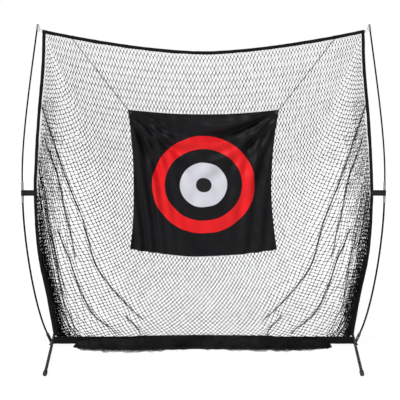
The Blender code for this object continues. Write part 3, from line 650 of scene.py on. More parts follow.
def rubber():
    """Moulded black rubber: fine grain, a dull bloom and dust where it meets the ground."""
    made, tree, shader = new_material("moulded_rubber", Specular_IOR_Level=0.15)
    where = place_of(tree)
    grain = noise(tree, where, 950.0)
    bloom = noise(tree, where, 22.0)
    height = node(tree, "SeparateXYZ", {"Vector": where}).outputs["Z"]
    low = spread(tree, height, 0.0, 0.012, 1.0, 0.0)
    dust = maths(tree, "MULTIPLY", low, spread(tree, bloom, 0.4, 0.6, 0.2, 1.0))
    colour = blend_colour(tree, bloom, (0.026, 0.026, 0.027), (0.052, 0.052, 0.054))
    colour = blend_colour(tree, dust, colour, (0.11, 0.105, 0.10))
    painted(tree, shader, colour, spread(tree, grain, 0.3, 0.7, 0.68, 0.92))
    bumped(tree, shader, grain, 0.00030, 0.7)
    return made


# Netting


def ply_start():
    """The knots laid evenly over the bag, from the top tape to the sleeve. Odd rows are half a cell on."""
    down = np.linspace(0.0, 1.0, ROWS + 1)[:, None]
    offset = np.where(np.arange(ROWS + 1) % 2, 0.5, 0.0)[:, None]
    across = np.clip(2 * (np.arange(COLUMNS + 1)[None, :] + offset) / COLUMNS - 1, -1, 1)
    across = across * (1 + COLUMN_SPREAD * (1 - across**2))
    mid_down = (0.00, 0.16, 0.35, 0.56, 0.72, 0.82, 0.88, 0.94, 1.0)
    mid_z = np.interp(down, mid_down, (1.936, 1.58, 1.15, 0.70, 0.35, 0.13, 0.024, 0.014, 0.035))
    mid_y = np.interp(down, mid_down, (0.0, 0.13, 0.235, 0.31, 0.33, 0.31, 0.25, 0.13, 0.015))
    side_z = 2.064 - 2.024 * np.minimum(down / 0.97, 1.0)
    spread_out = np.abs(across)
    height = mid_z + (side_z - mid_z) * spread_out**TOP_POWER
    bag = 1 - spread_out**BAG_POWER
    made = np.empty((ROWS + 1, COLUMNS + 1, 3))
    made[..., 0] = across * (side_edge_x(side_z) - TAPE_WIDTH + 0.002)
    made[..., 1] = mid_y * bag + 0.015 * (1 - bag) * down**8
    made[..., 2] = height
    made[0, :, 2] = top_edge_z(made[0, :, 0]) - TAPE_WIDTH + 0.002
    return made


def bar_groups(columns, rows):
    """The bars in four groups, each as the knots at their two ends, with no knot twice in a group."""
    even, odd, next_even = slice(0, rows, 2), slice(1, rows, 2), slice(2, rows + 1, 2)
    left, right = slice(0, columns), slice(1, columns + 1)
    return (
        ((even, left), (odd, left)),
        ((even, right), (odd, left)),
        ((odd, left), (next_even, left)),
        ((odd, left), (next_even, right)),
    )


def settle(knots, seed, steps):
    """The net let down into the bag: knots fall, bars keep their length, and the bag and floor hold them."""
    chance = np.random.default_rng(seed)
    fixed = np.zeros(knots.shape[:2], bool)
    fixed[[0, -1], :] = True
    fixed[::2, [0, -1]] = True
    fixed[1::2, -1] = True  # past the edge: no bar ends there
    free = ~fixed
    knots = knots.copy()
    knots[free] += chance.normal(0, 0.002, knots.shape)[free]
    loose = free[..., None].astype(float)
    groups = []
    for first, second in bar_groups(COLUMNS, ROWS):
        size = knots[first].shape[:2]
        rest = BAR * (1 + chance.normal(0, 0.025, size))[..., None]
        weight = np.maximum(loose[first] + loose[second], 1.0)
        groups.append((first, second, rest, loose[first] / weight, loose[second] / weight))
    pull = np.array([0.0, 2.6, -9.8])  # a push back into the bag, and gravity
    step = 0.012  # seconds
    speed = np.zeros_like(knots)
    for _ in range(steps):
        speed = (speed + pull * step) * 0.985 * loose
        moved = knots + speed * step
        for _ in range(10):
            for first, second, rest, near, far in groups:
                bar = moved[second] - moved[first]
                length = np.sqrt((bar * bar).sum(-1, keepdims=True)) + 1e-9
                excess = np.maximum(length - rest, 0) + 0.3 * np.minimum(length - 0.62 * rest, 0)
                bar *= excess / length
                moved[first] += bar * near
                moved[second] -= bar * far
        limit = bag_depth(moved[..., 0], moved[..., 2])
        moved[..., 1] = np.where(free, np.minimum(moved[..., 1], limit), moved[..., 1])
        low = free & (moved[..., 2] < PLY_FLOOR)
        moved[low, 2] = PLY_FLOOR
        moved[low, :2] += (knots[low, :2] - moved[low, :2]) * 0.4
        speed = (moved - knots) / step
        knots = moved
    return knots


def zigzags(knots):
    """The twines: each runs from side to side, up and down between two rows of knots."""
    made = []
    for row in range(len(knots) - 1):
        even, odd = (row, row + 1) if row % 2 == 0 else (row + 1, row)
        path = np.empty((2 * knots.shape[1] - 1, 3))
        path[0::2] = knots[even]
        path[1::2] = knots[odd, :-1]
        made.append(path)
    return made


def crowded(knots):
    """The net bunched towards the side tapes, most at its lower corners, and rippled where it is."""
    moved = knots.copy()
    x, z = knots[..., 0], knots[..., 2]
    side = np.where(x < 0, -1, 1)
    edge = side_edge_x(z) - TAPE_WIDTH + 0.002
    x = side * (edge - np.abs(np.abs(x) - edge))
    moved[..., 0] = x
    inward = np.clip(edge - np.abs(x), 0.0, EDGE_WIDTH)
    low = np.interp(z, (0.0, 0.15, 0.55, 1.1, 1.7), (1.35, 1.25, 1.0, 0.75, 0.25))
    power = 1 + low * np.where(side < 0, EDGE_CROWD[-1], EDGE_CROWD[1])
    drawn = EDGE_WIDTH * (inward / EDGE_WIDTH) ** power
    moved[..., 0] += side * (inward - drawn)
    near = np.sin(math.pi * np.clip(1 - inward / EDGE_WIDTH, 0, 1)) * np.clip(low, 0, 1)
    ripple = np.sin(2 * math.pi * inward / 0.034 + 5 * z)
    moved[..., 1] += EDGE_RIPPLE * near * (ripple - 0.6)
    return moved


def gathered(knots):
    """The net drawn together along its creases, each a narrow ridge towards the golfer."""
    moved = knots.copy()
    for mirror in (1, -1):
        for weight, crease in CREASES:
            line = spaced([(mirror * x, 0.0, z) for x, z in smooth(crease, 3)], 0.012)[:, [0, 2]]
            away = moved[..., None, [0, 2]] - line
            far = np.linalg.norm(away, axis=-1)
            nearest = far.argmin(-1)
            gap = np.take_along_axis(far, nearest[..., None], -1)
            offset = np.take_along_axis(away, nearest[..., None, None], -2)[..., 0, :]
            share = nearest / (len(line) - 1)
            strength = weight * np.sin(math.pi * np.clip(share, 0.01, 0.99))[..., None] ** 0.3
            hold = strength * np.exp(-((gap / CREASE_REACH) ** 2))
            moved[..., [0, 2]] -= offset * hold * CREASE_PULL
            moved[..., 1] -= CREASE_RISE * hold[..., 0]
    return moved


def cleared(knots):
    """The net held off the sleeve's back, the floor by the legs, and the target cords as they swing back."""
    moved = knots.copy()
    x, y, z = np.abs(moved[..., 0]), moved[..., 1], moved[..., 2]
    moved[..., 2] = z = np.maximum(z, np.interp(x, (0.78, 0.90), (PLY_FLOOR, 0.034)))
    share = np.clip((z - TARGET_TOP[1]) / (cord_anchor(1)[0][2] - TARGET_TOP[1]), 0, 1)
    cord_x = TARGET_TOP[0] + (ANCHOR_X - TARGET_TOP[0]) * share
    swung = TARGET_Y + (cord_anchor(1)[0][2] - z) * math.tan(SWING_BACK) + 0.010
    off = np.maximum(np.abs(x - cord_x) - 0.014, 0)
    behind = np.where((share > 0) & (share < 0.985), swung - 0.7 * off, -1)
    behind = np.where(z < SLEEVE_HIGH + 0.004, SLEEVE_HALF_DEPTH + 0.0048, behind)
    moved[..., 1] = np.maximum(y, behind)
    return moved


def pleats(knots, chance):
    """Twines doubled over along the creases, where the net folds on itself: each a narrow strip."""
    surface = knots.reshape(-1, 3)
    made = []
    for mirror in (1, -1):
        for weight, crease in CREASES:
            line = spaced([(mirror * x, 0.0, z) for x, z in smooth(crease, 4)], 0.0075)
            away = line[:, None, [0, 2]] - surface[None, :, [0, 2]]
            nearest = surface[(away**2).sum(-1).argmin(1), 1]
            line[:, 1] = np.convolve(np.pad(nearest, 4, mode="edge"), np.full(9, 1 / 9), "valid") - 0.008
            across = unit(np.cross(np.gradient(line, axis=0), (0.0, 1.0, 0.0)))
            ends = np.sin(math.pi * np.linspace(0.02, 0.98, len(line))) ** 0.4
            for strand in range(round(5 * weight)):
                odd = (np.arange(len(line)) + strand) % 2
                zigzag = np.where(odd, 1, -1) * chance.uniform(0.0020, 0.0046)
                lateral = (zigzag + wobble(len(line), 0.0016, 900 + strand, 15)) * (0.4 + 0.6 * ends)
                depth = wobble(len(line), 0.0022, 950 + strand, 11)
                made.append(line + across * lateral[:, None] + np.outer(depth, (0.0, 1.0, 0.0)))
    return made


def side_folds(knots, widths, stretch, chance):
    """Twines of the surplus net folded over beside the side tapes, widths columns wide at FOLD_ROWS."""
    folded = knots + chance.normal(0, 0.0030, knots.shape) + FOLD_OFFSET
    limit = side_edge_x(folded[..., 2]) - TAPE_WIDTH
    inward = np.abs(limit - np.abs(folded[..., 0]))
    folded[..., 0] = np.sign(folded[..., 0]) * (limit - stretch * inward)
    made = []
    for row, path in enumerate(zigzags(cleared(folded))):
        columns = int(np.interp(row / ROWS, FOLD_ROWS, widths))
        if columns > 1:
            made += [path[: 2 * columns + 1], path[-2 * columns - 1 :]]
    return made


def make_netting(material):
    """Both plies with their knots, and the net that is folded over along the creases and the sides."""
    base = settle(ply_start(), PLIES[0][1], 300)
    rows = np.linspace(0.0, 1.0, ROWS + 1)[:, None]
    columns = np.linspace(0.0, 1.0, COLUMNS + 1)[None, :]
    free = (np.sin(math.pi * rows) * np.sin(math.pi * columns))[..., None] ** 0.35
    for name, seed, offset in PLIES:
        chance = np.random.default_rng(seed)
        loose = chance.normal(0, 0.0011, base.shape)
        knots = cleared(gathered(crowded(base + free * (np.array(offset) + loose))))
        ply = twines(f"netting_{name}", zigzags(knots), TWINE_R, material)
        if name == "front":
            folded = pleats(knots, chance)
            for widths, stretch in SIDE_FOLDS:
                folded += side_folds(knots, widths, stretch, chance)
            folds = twines("netting_folds", folded, TWINE_R, material)
            placed([folds], "frame", "black_netting")
        inner = knots[1:-1, 1:-1].reshape(-1, 3)
        reach = unit(chance.normal(0, 1, inner.shape)) * KNOT_R
        knotted = lumps(f"netting_{name}_knots", inner, reach, KNOT_R * 0.9, material)
        placed((ply, knotted), "frame", "black_netting", f"netting_{name}_ply")


# Surplus netting in front of the sleeve


def roll_section(x, swell, fringe):
    """Points over the roll at a place along it, from its back over the top and down to the floor."""
    line = smooth(ROLL, 6)
    height = np.interp(x, line[:, 0], line[:, 1])
    reach = np.interp(x, line[:, 0], line[:, 2])
    skirt = min(FRINGE, 0.5 * reach)
    turn = np.linspace(0.0, 1.0, 26) * math.pi * 0.97
    across = (1 - np.cos(turn)) / 2
    up = np.sin(turn) ** 0.62
    y = ROLL_BACK_Y - (reach - skirt) * swell * across**0.8
    z = 0.003 + (height * swell - 0.003) * up * (1 - 0.30 * across)
    points = np.stack([np.full(len(y), x), y, z], axis=1)
    if fringe > 0:
        out = np.linspace(0.0, 1.0, 6)[1:, None]
        ragged = 1.05 + 0.30 * math.sin(61 * x) * math.sin(23 * x + 1.0)
        points = np.vstack([points, points[-1] + out * (0.0, -fringe * skirt * ragged, 0.0)])
    return points


def roll_shape(stations, swell, fringe, lumpiness, seed):
    """The roll's surface, lumpy like bunched netting."""
    chance = np.random.default_rng(seed)
    xs = np.linspace(ROLL[0][0], ROLL[-1][0], stations)
    grid = np.array([roll_section(x, swell, fringe) for x in xs])
    waves = np.zeros(grid.shape[:2])
    for _ in range(9):
        rate, lean = chance.uniform(8, 90), chance.uniform(-0.45, 0.45)
        start = chance.uniform(0, 2 * math.pi)
        waves += np.sin(rate * xs[:, None] + lean * np.arange(grid.shape[1])[None] + start) / 3
    rising = np.zeros(grid.shape[1])
    rising[:26] = np.sin(np.linspace(0, math.pi, 26)) ** 0.5
    taper = np.interp(np.abs(xs), (0.0, 0.80, 0.90), (1.0, 1.0, 0.1))[:, None]
    grid[..., 2] = np.maximum(grid[..., 2] + lumpiness * waves * rising * taper, 0.0025)
    grid[..., 1] += 0.7 * lumpiness * np.roll(waves, 5, axis=1) * rising * taper
    grid[..., 1] = np.minimum(grid[..., 1], ROLL_BACK_Y)
    return grid


def draped(grid, columns, rows, seed):
    """Knots of a net bunched over a surface, with its odd rows half a cell on."""
    chance = np.random.default_rng(seed)
    offset = np.where(np.arange(rows + 1) % 2, 0.5, 0.0)[:, None]
    across = (np.arange(columns + 1)[None] + offset) / (columns + 0.5)
    across = np.clip(across + chance.normal(0, 0.22 / columns, across.shape), 0, 1) * (grid.shape[0] - 1)
    down = np.linspace(0, 1, rows + 1)[:, None] + chance.normal(0, 0.25 / rows, across.shape)
    down = np.clip(down, 0, 1) * (grid.shape[1] - 1)
    i, j = np.minimum(across.astype(int), grid.shape[0] - 2), np.minimum(down.astype(int), grid.shape[1] - 2)
    u, v = (across - i)[..., None], (down - j)[..., None]
    low = grid[i, j] * (1 - u) + grid[i + 1, j] * u
    high = grid[i, j + 1] * (1 - u) + grid[i + 1, j + 1] * u
    return low * (1 - v) + high * v + chance.normal(0, 0.0016, (*across.shape, 3))


def make_roll(twine, bundle):
    """A dark lumpy bundle under four layers of its own mesh, the outer ones loose on the floor in front."""
    core_grid = roll_shape(180, 0.90, 0.0, 0.0050, 5)
    under = core_grid[:, [0, -1]].copy()
    under[..., 2] = 0.0022
    rings = np.concatenate([core_grid, under[:, 1:], under[:, :1]], axis=1)
    core = loft("net_roll_core", rings, bundle)
    layers = []
    for swell, fringe, columns, rows, seed in (
        (0.96, 0.0, 90, 34, 11),
        (1.00, 0.7, 84, 36, 12),
        (1.03, 1.0, 84, 38, 15),
        (1.04, 1.1, 80, 38, 13),
    ):
        layers += zigzags(draped(roll_shape(150, swell, fringe, 0.0055, seed), columns, rows, seed))
    lifted = [np.maximum(path, (-9, -9, 2 * BUNCHED_TWINE_R)) for path in layers]
    netting = twines("net_roll_netting", lifted, BUNCHED_TWINE_R, twine)
    placed((core, netting), "frame", "black_netting", "net_gather")


# Tapes and sleeve


def wobble(count, size, seed, width=9):
    """A smooth random series of about that size."""
    chance = np.random.default_rng(seed)
    window = np.hanning(width + 2)[1:-1]
    series = np.convolve(chance.normal(0, 1, count + width - 1), window / (window**2).sum() ** 0.5, "valid")
    return size * series


def band(name, path, inward, width, thick, material, seed):
    """A folded tape: its outer edge runs along the path, and it is puckered by the netting sewn in it."""
    path, inward = np.asarray(path), unit(np.asarray(inward))
    outer = wobble(len(path), 0.00035, seed)
    inner = width + wobble(len(path), 0.00055, seed + 1)
    swell = wobble(len(path), 0.00016, seed + 2, 5)
    shares = np.array([0.0, 0.03, 0.14, 0.38, 0.62, 0.86, 0.97, 1.0])
    bulge = np.array([0.42, 0.85, 1.0, 0.94, 0.92, 0.98, 0.85, 0.40])
    ring = []
    for facing in (-1, 1):
        order = slice(None) if facing < 0 else slice(None, None, -1)
        for share, full in zip(shares[order], bulge[order], strict=True):
            place = path + inward * (outer + (inner - outer) * share)[:, None]
            place[:, 1] += facing * (thick / 2 * full + swell * full)
            ring.append(place)
    return loft(name, np.stack(ring, axis=1), material)


def sewn_line(path, inward, offset, lift):
    """Where a row of stitching lies on a tape's two faces."""
    place = np.asarray(path) + unit(np.asarray(inward)) * offset
    return [place + (0.0, side * lift, 0.0) for side in (-1, 1)]


def top_path():
    """The top tape's upper edge, and the way down from it into the net."""
    xs = np.linspace(-TOP_HALF, TOP_HALF, 260)
    path = np.stack([xs, np.zeros_like(xs), top_edge_z(xs)], axis=1)
    slope = np.gradient(path[:, 2], xs)
    return path, np.stack([slope, np.zeros_like(xs), -np.ones_like(xs)], axis=1)


def side_path(side):
    """A side tape's outer edge, and the way from it into the net."""
    edge = [*SIDE_EDGE, (TOP_HALF - 0.0012, 2.090)]
    line = spaced([(side * x, 0.0, z) for x, z in smooth(edge, 6)], 0.008)
    run = unit(np.gradient(line, axis=0))
    return line, np.stack([-side * run[:, 2], np.zeros(len(line)), side * run[:, 0]], axis=1)


def make_tapes(webbing, thread):
    path, inward = top_path()
    top = band("top_tape", path, inward, TAPE_WIDTH, TAPE_THICK, webbing, 21)
    placed([top], "frame", "black_webbing", "top_binding")
    lines = sewn_line(path[3:-3], inward[3:-3], 0.0165, 0.00125)
    lines += sewn_line(path[3:-3], inward[3:-3], 0.0040, 0.00125)
    for side, word in SIDES:
        path, inward = side_path(side)
        tape = band(f"side_tape_{word}", path, inward, TAPE_WIDTH, TAPE_THICK * 0.86, webbing, 31 + side)
        placed([tape], "frame", "black_webbing", f"side_binding_{word}")
        lines += sewn_line(path[2:-4], inward[2:-4], 0.0165, 0.00110)
        lines += sewn_line(path[2:-4], inward[2:-4], 0.0040, 0.00110)
    placed([stitches("tape_stitching", lines, thread)], "frame", "black_webbing")


def sleeve_outline():
    """Half of the sleeve's section, from its lowest point up to its top: half depth and height."""
    bar_z = SLEEVE_LOW + SLEEVE_HALF_DEPTH - 0.0008
    around = [(0.0124 * math.sin(a), bar_z - 0.0124 * math.cos(a)) for a in np.linspace(0, 1.75, 7)]
    above = [(0.0088, 0.0505), (0.0052, 0.0565), (0.0040, 0.0620), (0.0036, 0.0690), (0.0, SLEEVE_HIGH)]
    return around + above


def make_sleeve(cloth, thread):
    """A cloth pocket round the bar, sewn shut above it, slack and wrinkled along its length."""
    half = np.array(sleeve_outline())
    outline = np.vstack([half, half[-2:0:-1] * (-1, 1)])
    around = len(outline)
    xs = np.linspace(-SLEEVE_HALF, SLEEVE_HALF, 230)
    chance = np.random.default_rng(41)
    wrinkle = np.zeros((len(xs), around))
    turn = 2 * math.pi * np.arange(around) / around
    for _ in range(14):
        rate, lobes = chance.uniform(30, 150), chance.integers(1, 4)
        wrinkle += np.sin(rate * xs[:, None] + lobes * turn[None] + chance.uniform(0, 7)) / 14**0.5
    outward = unit(np.stack([outline[:, 0], outline[:, 1] - 0.045], axis=1) + 1e-9)
    rings = []
    for j in range(around):
        push = 0.0009 * (wrinkle[:, j] + 1.0)
        for thick, order in ((0.0, slice(None)), (0.0008, slice(None, None, -1))):
            y = outline[j, 0] + outward[j, 0] * (push - thick)
            z = np.maximum(outline[j, 1] + outward[j, 1] * (push - thick) * 0.6, SLEEVE_LOW + 0.0003)
            points = np.stack([xs, y, z], axis=1)[order]
            rings.append(points)
    rings = np.array(rings).reshape(around, -1, 3)
    sleeve = loft("bar_sleeve", rings, cloth, closed=True)
    placed([sleeve], "frame", "black_webbing", "bottom_sleeve")
    ends = ((-SLEEVE_HALF + 0.004, 0.0, 0.0), (SLEEVE_HALF - 0.004, 0.0, 0.0))
    seams = []
    for z, y in ((0.0562, 0.0068), (0.0665, 0.0052)):
        for facing in (-1, 1):
            seams.append([(x, facing * y, z) for x, _, _ in ends])
    placed([stitches("sleeve_stitching", seams, thread)], "frame", "black_webbing")


# Target


def target_grid():
    """Points over the target, row by row, and each one's share across and down."""
    edge = np.array([0.0, 0.0015, HEM - 0.0015, HEM, HEM + 0.0015])
    shares = []
    for span, count in zip(TARGET_SPAN, (108, 102), strict=True):
        inner = np.linspace(0.035, span - 0.035, count)
        shares.append(np.concatenate([edge, inner, span - edge[::-1]]) / span)
    across, down = shares
    s, t = across[None, :], down[:, None]
    (top_x, top_z), (low_x, low_z) = TARGET_TOP, TARGET_LOW
    half = top_x + (low_x - top_x) * t - 4 * np.where(s < 0.5, *TARGET_SIDE_SAG) * t * (1 - t)
    top = top_z - 4 * TARGET_TOP_SAG * s * (1 - s)
    low = low_z - 4 * TARGET_LOW_SAG * s * (1 - s)
    x = (2 * s - 1) * half
    z = top + (low - top) * t
    return x, z, np.broadcast_to(s, x.shape), np.broadcast_to(t, x.shape)


def target_folds(x, z):
    """How far the hanging cloth stands behind its plane: folds from the corners, and swags under the top."""
    depth = np.zeros_like(x)
    wave = 2 * math.pi
    for side in (-1, 1):
        dx, dz = (TARGET_TOP[0] - side * x), (TARGET_TOP[1] - z)
        reach = np.hypot(dx, dz)
        turn = np.arctan2(dz, dx)
        grow = np.clip((reach - 0.035) / 0.16, 0, 1) ** 1.1
        # folds that run from the corner, fanned out between the top edge and the side
        fan = (turn - 0.12 * side) / 1.35 + 0.10 * reach * (1 + 0.3 * side)
        rays = 0.62 * np.cos(wave * 3.1 * fan) + 0.38 * np.cos(wave * 6.4 * fan + 1.1 * side)
        depth += 0.0190 * grow * np.exp(-((reach / 0.70) ** 2.4)) * rays
        # long folds down the side, which lean inwards and reach the lower edge
        lean = dx - 0.05 - 0.20 * dz + 0.06 * dz * dz
        down = np.clip(dz / 0.30, 0, 1) * np.exp(-(((dx - 0.10) / 0.17) ** 2))
        depth += 0.0125 * down * np.cos(wave * lean / (0.085 + 0.012 * side))
    swag = TARGET_TOP[1] - z - 0.17 * (1 - (x / 0.50) ** 2)
    depth += 0.0145 * np.cos(wave * swag / 0.115) * np.exp(-((swag / 0.13) ** 2)) * (1 - (x / 0.55) ** 4)
    lower = np.clip((1.02 - z) / 0.36, 0, 1) ** 1.3
    slack = ((13, 6.0, 0.4, 0.0085), (-21, 11.0, 1.9, 0.0045), (37, 5.0, 3.1, 0.0016))
    for rate, lean, start, size in slack:
        depth += size * lower * np.cos(rate * x + lean * z * np.sign(rate) + start)
    # small creases from packing
    for rate, rise, start in ((31, 47, 0.3), (-52, 29, 2.2), (19, -71, 4.0), (66, 38, 1.0)):
        depth += 0.0007 * np.sin(rate * x + rise * z + start + 1.5 * np.sin(9 * z + start))
    near = np.ones_like(x)
    for side in (-1, 1):
        gap = np.hypot(side * x - TARGET_TOP[0] + 0.015, z - TARGET_TOP[1] + 0.015)
        near *= np.clip((gap - 0.030) / 0.05, 0, 1)
    return depth * near


def sheet_shell(name, front, back, runs, material):
    """A closed cloth from its two faces, each a grid of points."""
    rows, columns = front.shape[:2]
    index = np.arange(rows * columns).reshape(rows, columns)
    corners = (index[:-1, :-1], index[1:, :-1], index[1:, 1:], index[:-1, 1:])
    quads = np.stack(corners, axis=-1).reshape(-1, 4)
    rim = np.concatenate([index[0, :], index[1:, -1], index[-1, -2::-1], index[-2:0:-1, 0]])
    after = np.roll(rim, -1)
    other = rows * columns
    edge = np.stack([rim, after, after + other, rim + other], axis=-1)
    faces = np.vstack([quads, quads[:, ::-1] + other, edge])
    points = np.vstack([front.reshape(-1, 3), back.reshape(-1, 3)])
    flat = np.vstack([runs.reshape(-1, 2), runs.reshape(-1, 2)])
    return mesh_of(name, points, faces, material, flat[faces.ravel()])


def cloth_point(x, z):
    """Points in the middle of the target's cloth."""
    return np.stack([x, TARGET_Y + target_folds(x, z), z], axis=-1)


def make_target(cloth, thread):
    """The folded panel, thicker at its hem, with a line of stitching along each side."""
    x, z, s, t = target_grid()
    middle = cloth_point(x, z)
    to_edge = np.minimum(np.minimum(s, 1 - s) * TARGET_SPAN[0], np.minimum(t, 1 - t) * TARGET_SPAN[1])
    hem = np.clip((HEM - to_edge) / 0.0012, 0, 1)
    half = TARGET_THICK / 2 * (1 + 0.9 * hem) * np.where(to_edge < 0.0005, 0.45, 1.0)
    front, back = middle.copy(), middle.copy()
    front[..., 1] -= half
    back[..., 1] += half
    panel = sheet_shell("target_cloth", front, back, np.stack([x, z], axis=-1), cloth)
    placed([panel], "target", "target_cloth", "target_panel")
    lines = []
    for row in (4, -5):
        lines += [front[row, 4:-4] - (0, 0.0002, 0), back[row, 4:-4] + (0, 0.0002, 0)]
    for column in (4, -5):
        lines += [front[4:-4, column] - (0, 0.0002, 0), back[4:-4, column] + (0, 0.0002, 0)]
    sewing = stitches("target_stitching", lines, thread, 0.0042, 0.0004)
    placed([sewing], "target", "target_cloth")


def cord_anchor(side):
    """The place on the top tape's lower edge that a target cord hangs from, and the tape's slope there."""
    slope = math.atan(TOP_RISE * TOP_POWER / TOP_HALF * (ANCHOR_X / TOP_HALF) ** (TOP_POWER - 1))
    low = top_edge_z(ANCHOR_X) - TAPE_WIDTH / math.cos(slope)
    return np.array([side * ANCHOR_X, TARGET_Y, low]), slope


def make_target_cord(side, word, braid):
    """From the top tape, down in front of the panel's corner and back through its grommet."""
    anchor = cord_anchor(side)[0]
    corner = np.array([side * TARGET_TOP[0], TARGET_Y, TARGET_TOP[1]])
    down = unit(corner - anchor)
    eye = corner + down * GROMMET_INSET
    forward = np.array([0.0, -(GROMMET_FACE + CORD_R), 0.0])
    near = [
        eye - down * 0.060 + forward * 1.05,
        eye - down * 0.020 + forward * 1.08,
        eye - down * 0.006 + forward * 1.02,
        eye - down * 0.0016 + forward * 0.66,
        eye,
        eye + (0.0, 0.0045, 0.0),
    ]
    straight = [anchor + (near[0] - anchor) * i / 24 for i in range(25)]
    path = np.vstack([straight[:-1], smooth([straight[-1], *near[1:]], 6)])
    name = f"target_cord_{word}_braid"
    cord = loft(name, tube_rings(path, CORD_R, 10), braid)
    placed([cord], "target", "black_cord", f"target_cord_{word}")


def make_tie(side, word, braid):
    """Four turns of cord round the top tape, which a target cord hangs from."""
    anchor, slope = cord_anchor(side)
    up = np.array([-side * math.sin(slope), 0.0, math.cos(slope)])
    run = np.array([side * math.cos(slope), 0.0, math.sin(slope)])
    turns, each = 4, 20
    path = []
    for step in range(turns * each + 1):
        angle = 2 * math.pi * step / each
        across, rise = math.cos(angle), math.sin(angle)
        y = 0.0022 * math.copysign(abs(across) ** 0.5, across)
        height = TAPE_WIDTH / 2 + (TAPE_WIDTH / 2 + 0.0010) * math.copysign(abs(rise) ** 0.5, rise)
        place = (anchor[0], 0.0, anchor[2]) + up * height + run * (step / each - turns / 2) * 0.0013
        path.append(place + (0.0, y, 0.0))
    tie = loft(f"tie_{word}_whipping", tube_rings(path, 0.00062, 6), braid)
    placed([tie], "frame", "black_cord", f"target_tie_{word}")


# Straps and loops between the net and the poles


def make_strap(side, word, webbing, thread):
    """A webbing loop round the ferrule, with its two ends sewn over the side tape."""
    radius = FERRULE_R + 0.0004 + STRAP_THICK / 2
    turns = np.radians(np.linspace(-100, 100, 25))
    bend = np.stack([BOW_X + radius * np.cos(turns), radius * np.sin(turns)], axis=1)
    edge = float(side_edge_x(STRAP_Z))
    legs = np.array(
        [(edge - 0.0190, 0.00235), (edge - 0.004, 0.0024), (edge + 0.010, 0.0015), (edge + 0.030, 0.0021)]
    )
    line = np.vstack([legs * (1, -1), bend, legs[::-1]])
    line = smooth(np.column_stack([line, np.zeros(len(line))]), 3)[:, :2]
    run = unit(np.gradient(line, axis=0))
    outward = np.stack([run[:, 1], -run[:, 0]], axis=1)
    shares = np.linspace(-1, 1, 9)
    edge_wave = wobble(len(line), 0.0004, 60 + side)
    ring = []
    for facing, order in ((1, shares), (-1, shares[::-1])):
        for share in order:
            thick = STRAP_THICK / 2 * (0.55 if abs(share) == 1 else 1.0)
            place = line + outward * facing * thick
            z = STRAP_Z + share * (STRAP_HEIGHT / 2 - 0.0004) + edge_wave * abs(share)
            ring.append(np.stack([side * place[:, 0], place[:, 1], z], axis=1))
    strap = loft(f"strap_{word}_webbing", np.stack(ring, axis=1), webbing)
    face = STRAP_THICK / 2 + 0.0001
    rows = []
    for level in (-0.0150, 0.0150):
        place = line + outward * face
        rows.append(np.stack([side * place[:, 0], place[:, 1], np.full(len(line), STRAP_Z + level)], axis=1))
    for facing in (-1, 1):
        for at in (edge - 0.0165, edge - 0.0030):
            rows.append([(side * at, facing * 0.0034, STRAP_Z + level) for level in (-0.015, 0.015)])
    sewing = stitches(f"strap_{word}_stitching", rows, thread)
    for piece in (strap, sewing):
        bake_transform(piece)
    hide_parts(f"strap_{word}")


def make_corner_loop(side, word, elastic):
    """An elastic loop from the groove in the tip cap to the ring at the net's corner."""
    along = np.array([-math.sin(TIP_TILT), 0.0, math.cos(TIP_TILT)])
    outward = np.array([math.cos(TIP_TILT), 0.0, math.sin(TIP_TILT)])
    neck = np.array([TIP_X, 0.0, TIP_Z]) + along * NECK_UP
    half = []
    for turn in np.radians(np.arange(5) * 22.5):
        half.append(neck + outward * NECK_WRAP * math.cos(turn) + (0.0, NECK_WRAP * math.sin(turn), 0.0))
    hole = np.array([CORNER_X + 0.0035, 0.0, CORNER_Z + 0.0035])
    half.append(neck - outward * 0.0090 + (0.0, 0.0060, 0.0))
    half.append(neck + (hole - neck) * 0.62 + (-0.0008, 0.0052, 0.0016))
    half.append(hole + (0.0006, 0.0036, 0.0010))
    half.append(hole + (-0.0010, 0.0018, -0.0010))
    end = hole + (-0.0014, 0.0, -0.0014)
    half = smooth([*half, end], 5)
    loop = np.vstack([half, half[-2:0:-1] * (1, -1, 1)]) * (side, 1, 1)
    rings = tube_rings(loop, LOOP_R, 10, closed=True)
    cord = loft(f"corner_loop_{word}_elastic", rings, elastic, closed=True)
    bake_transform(cord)
    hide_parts(f"corner_loop_{word}")


# Finishes of the CAD's own nodes


def finish_nodes(finishes):
    """Gives each CAD node the first finish whose words its name starts with."""
    for name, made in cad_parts.items():
        for words, material in finishes:
            if name.startswith(words):
                for slot in made.material_slots:
                    slot.link = "OBJECT"
                    slot.material = material
                break


# Studio


def make_camera():
    data = bpy.data.cameras.new("camera")
    data.sensor_width = 36.0
    data.lens = CAMERA_LENS
    data.shift_x = CAMERA_SHIFT
    camera = bpy.data.objects.new("camera", data)
    bpy.context.collection.objects.link(camera)
    camera.location = CAMERA_PLACE
    camera.rotation_euler = (math.radians(90) - CAMERA_DIP, 0.0, 0.0)
    bpy.context.scene.camera = camera
    bpy.context.scene.view_settings.view_transform = "Standard"


def make_lamp(name, kind, place, aim, energy, size):
    data = bpy.data.lights.new(name, kind)
    data.energy = energy
    if kind == "SUN":
        data.angle = size
    else:
        data.size = size
    lamp = bpy.data.objects.new(name, data)
    bpy.context.collection.objects.link(lamp)
    lamp.location = place
    lamp.rotation_euler = (Vector(aim) - Vector(place)).to_track_quat("-Z", "Y").to_euler()


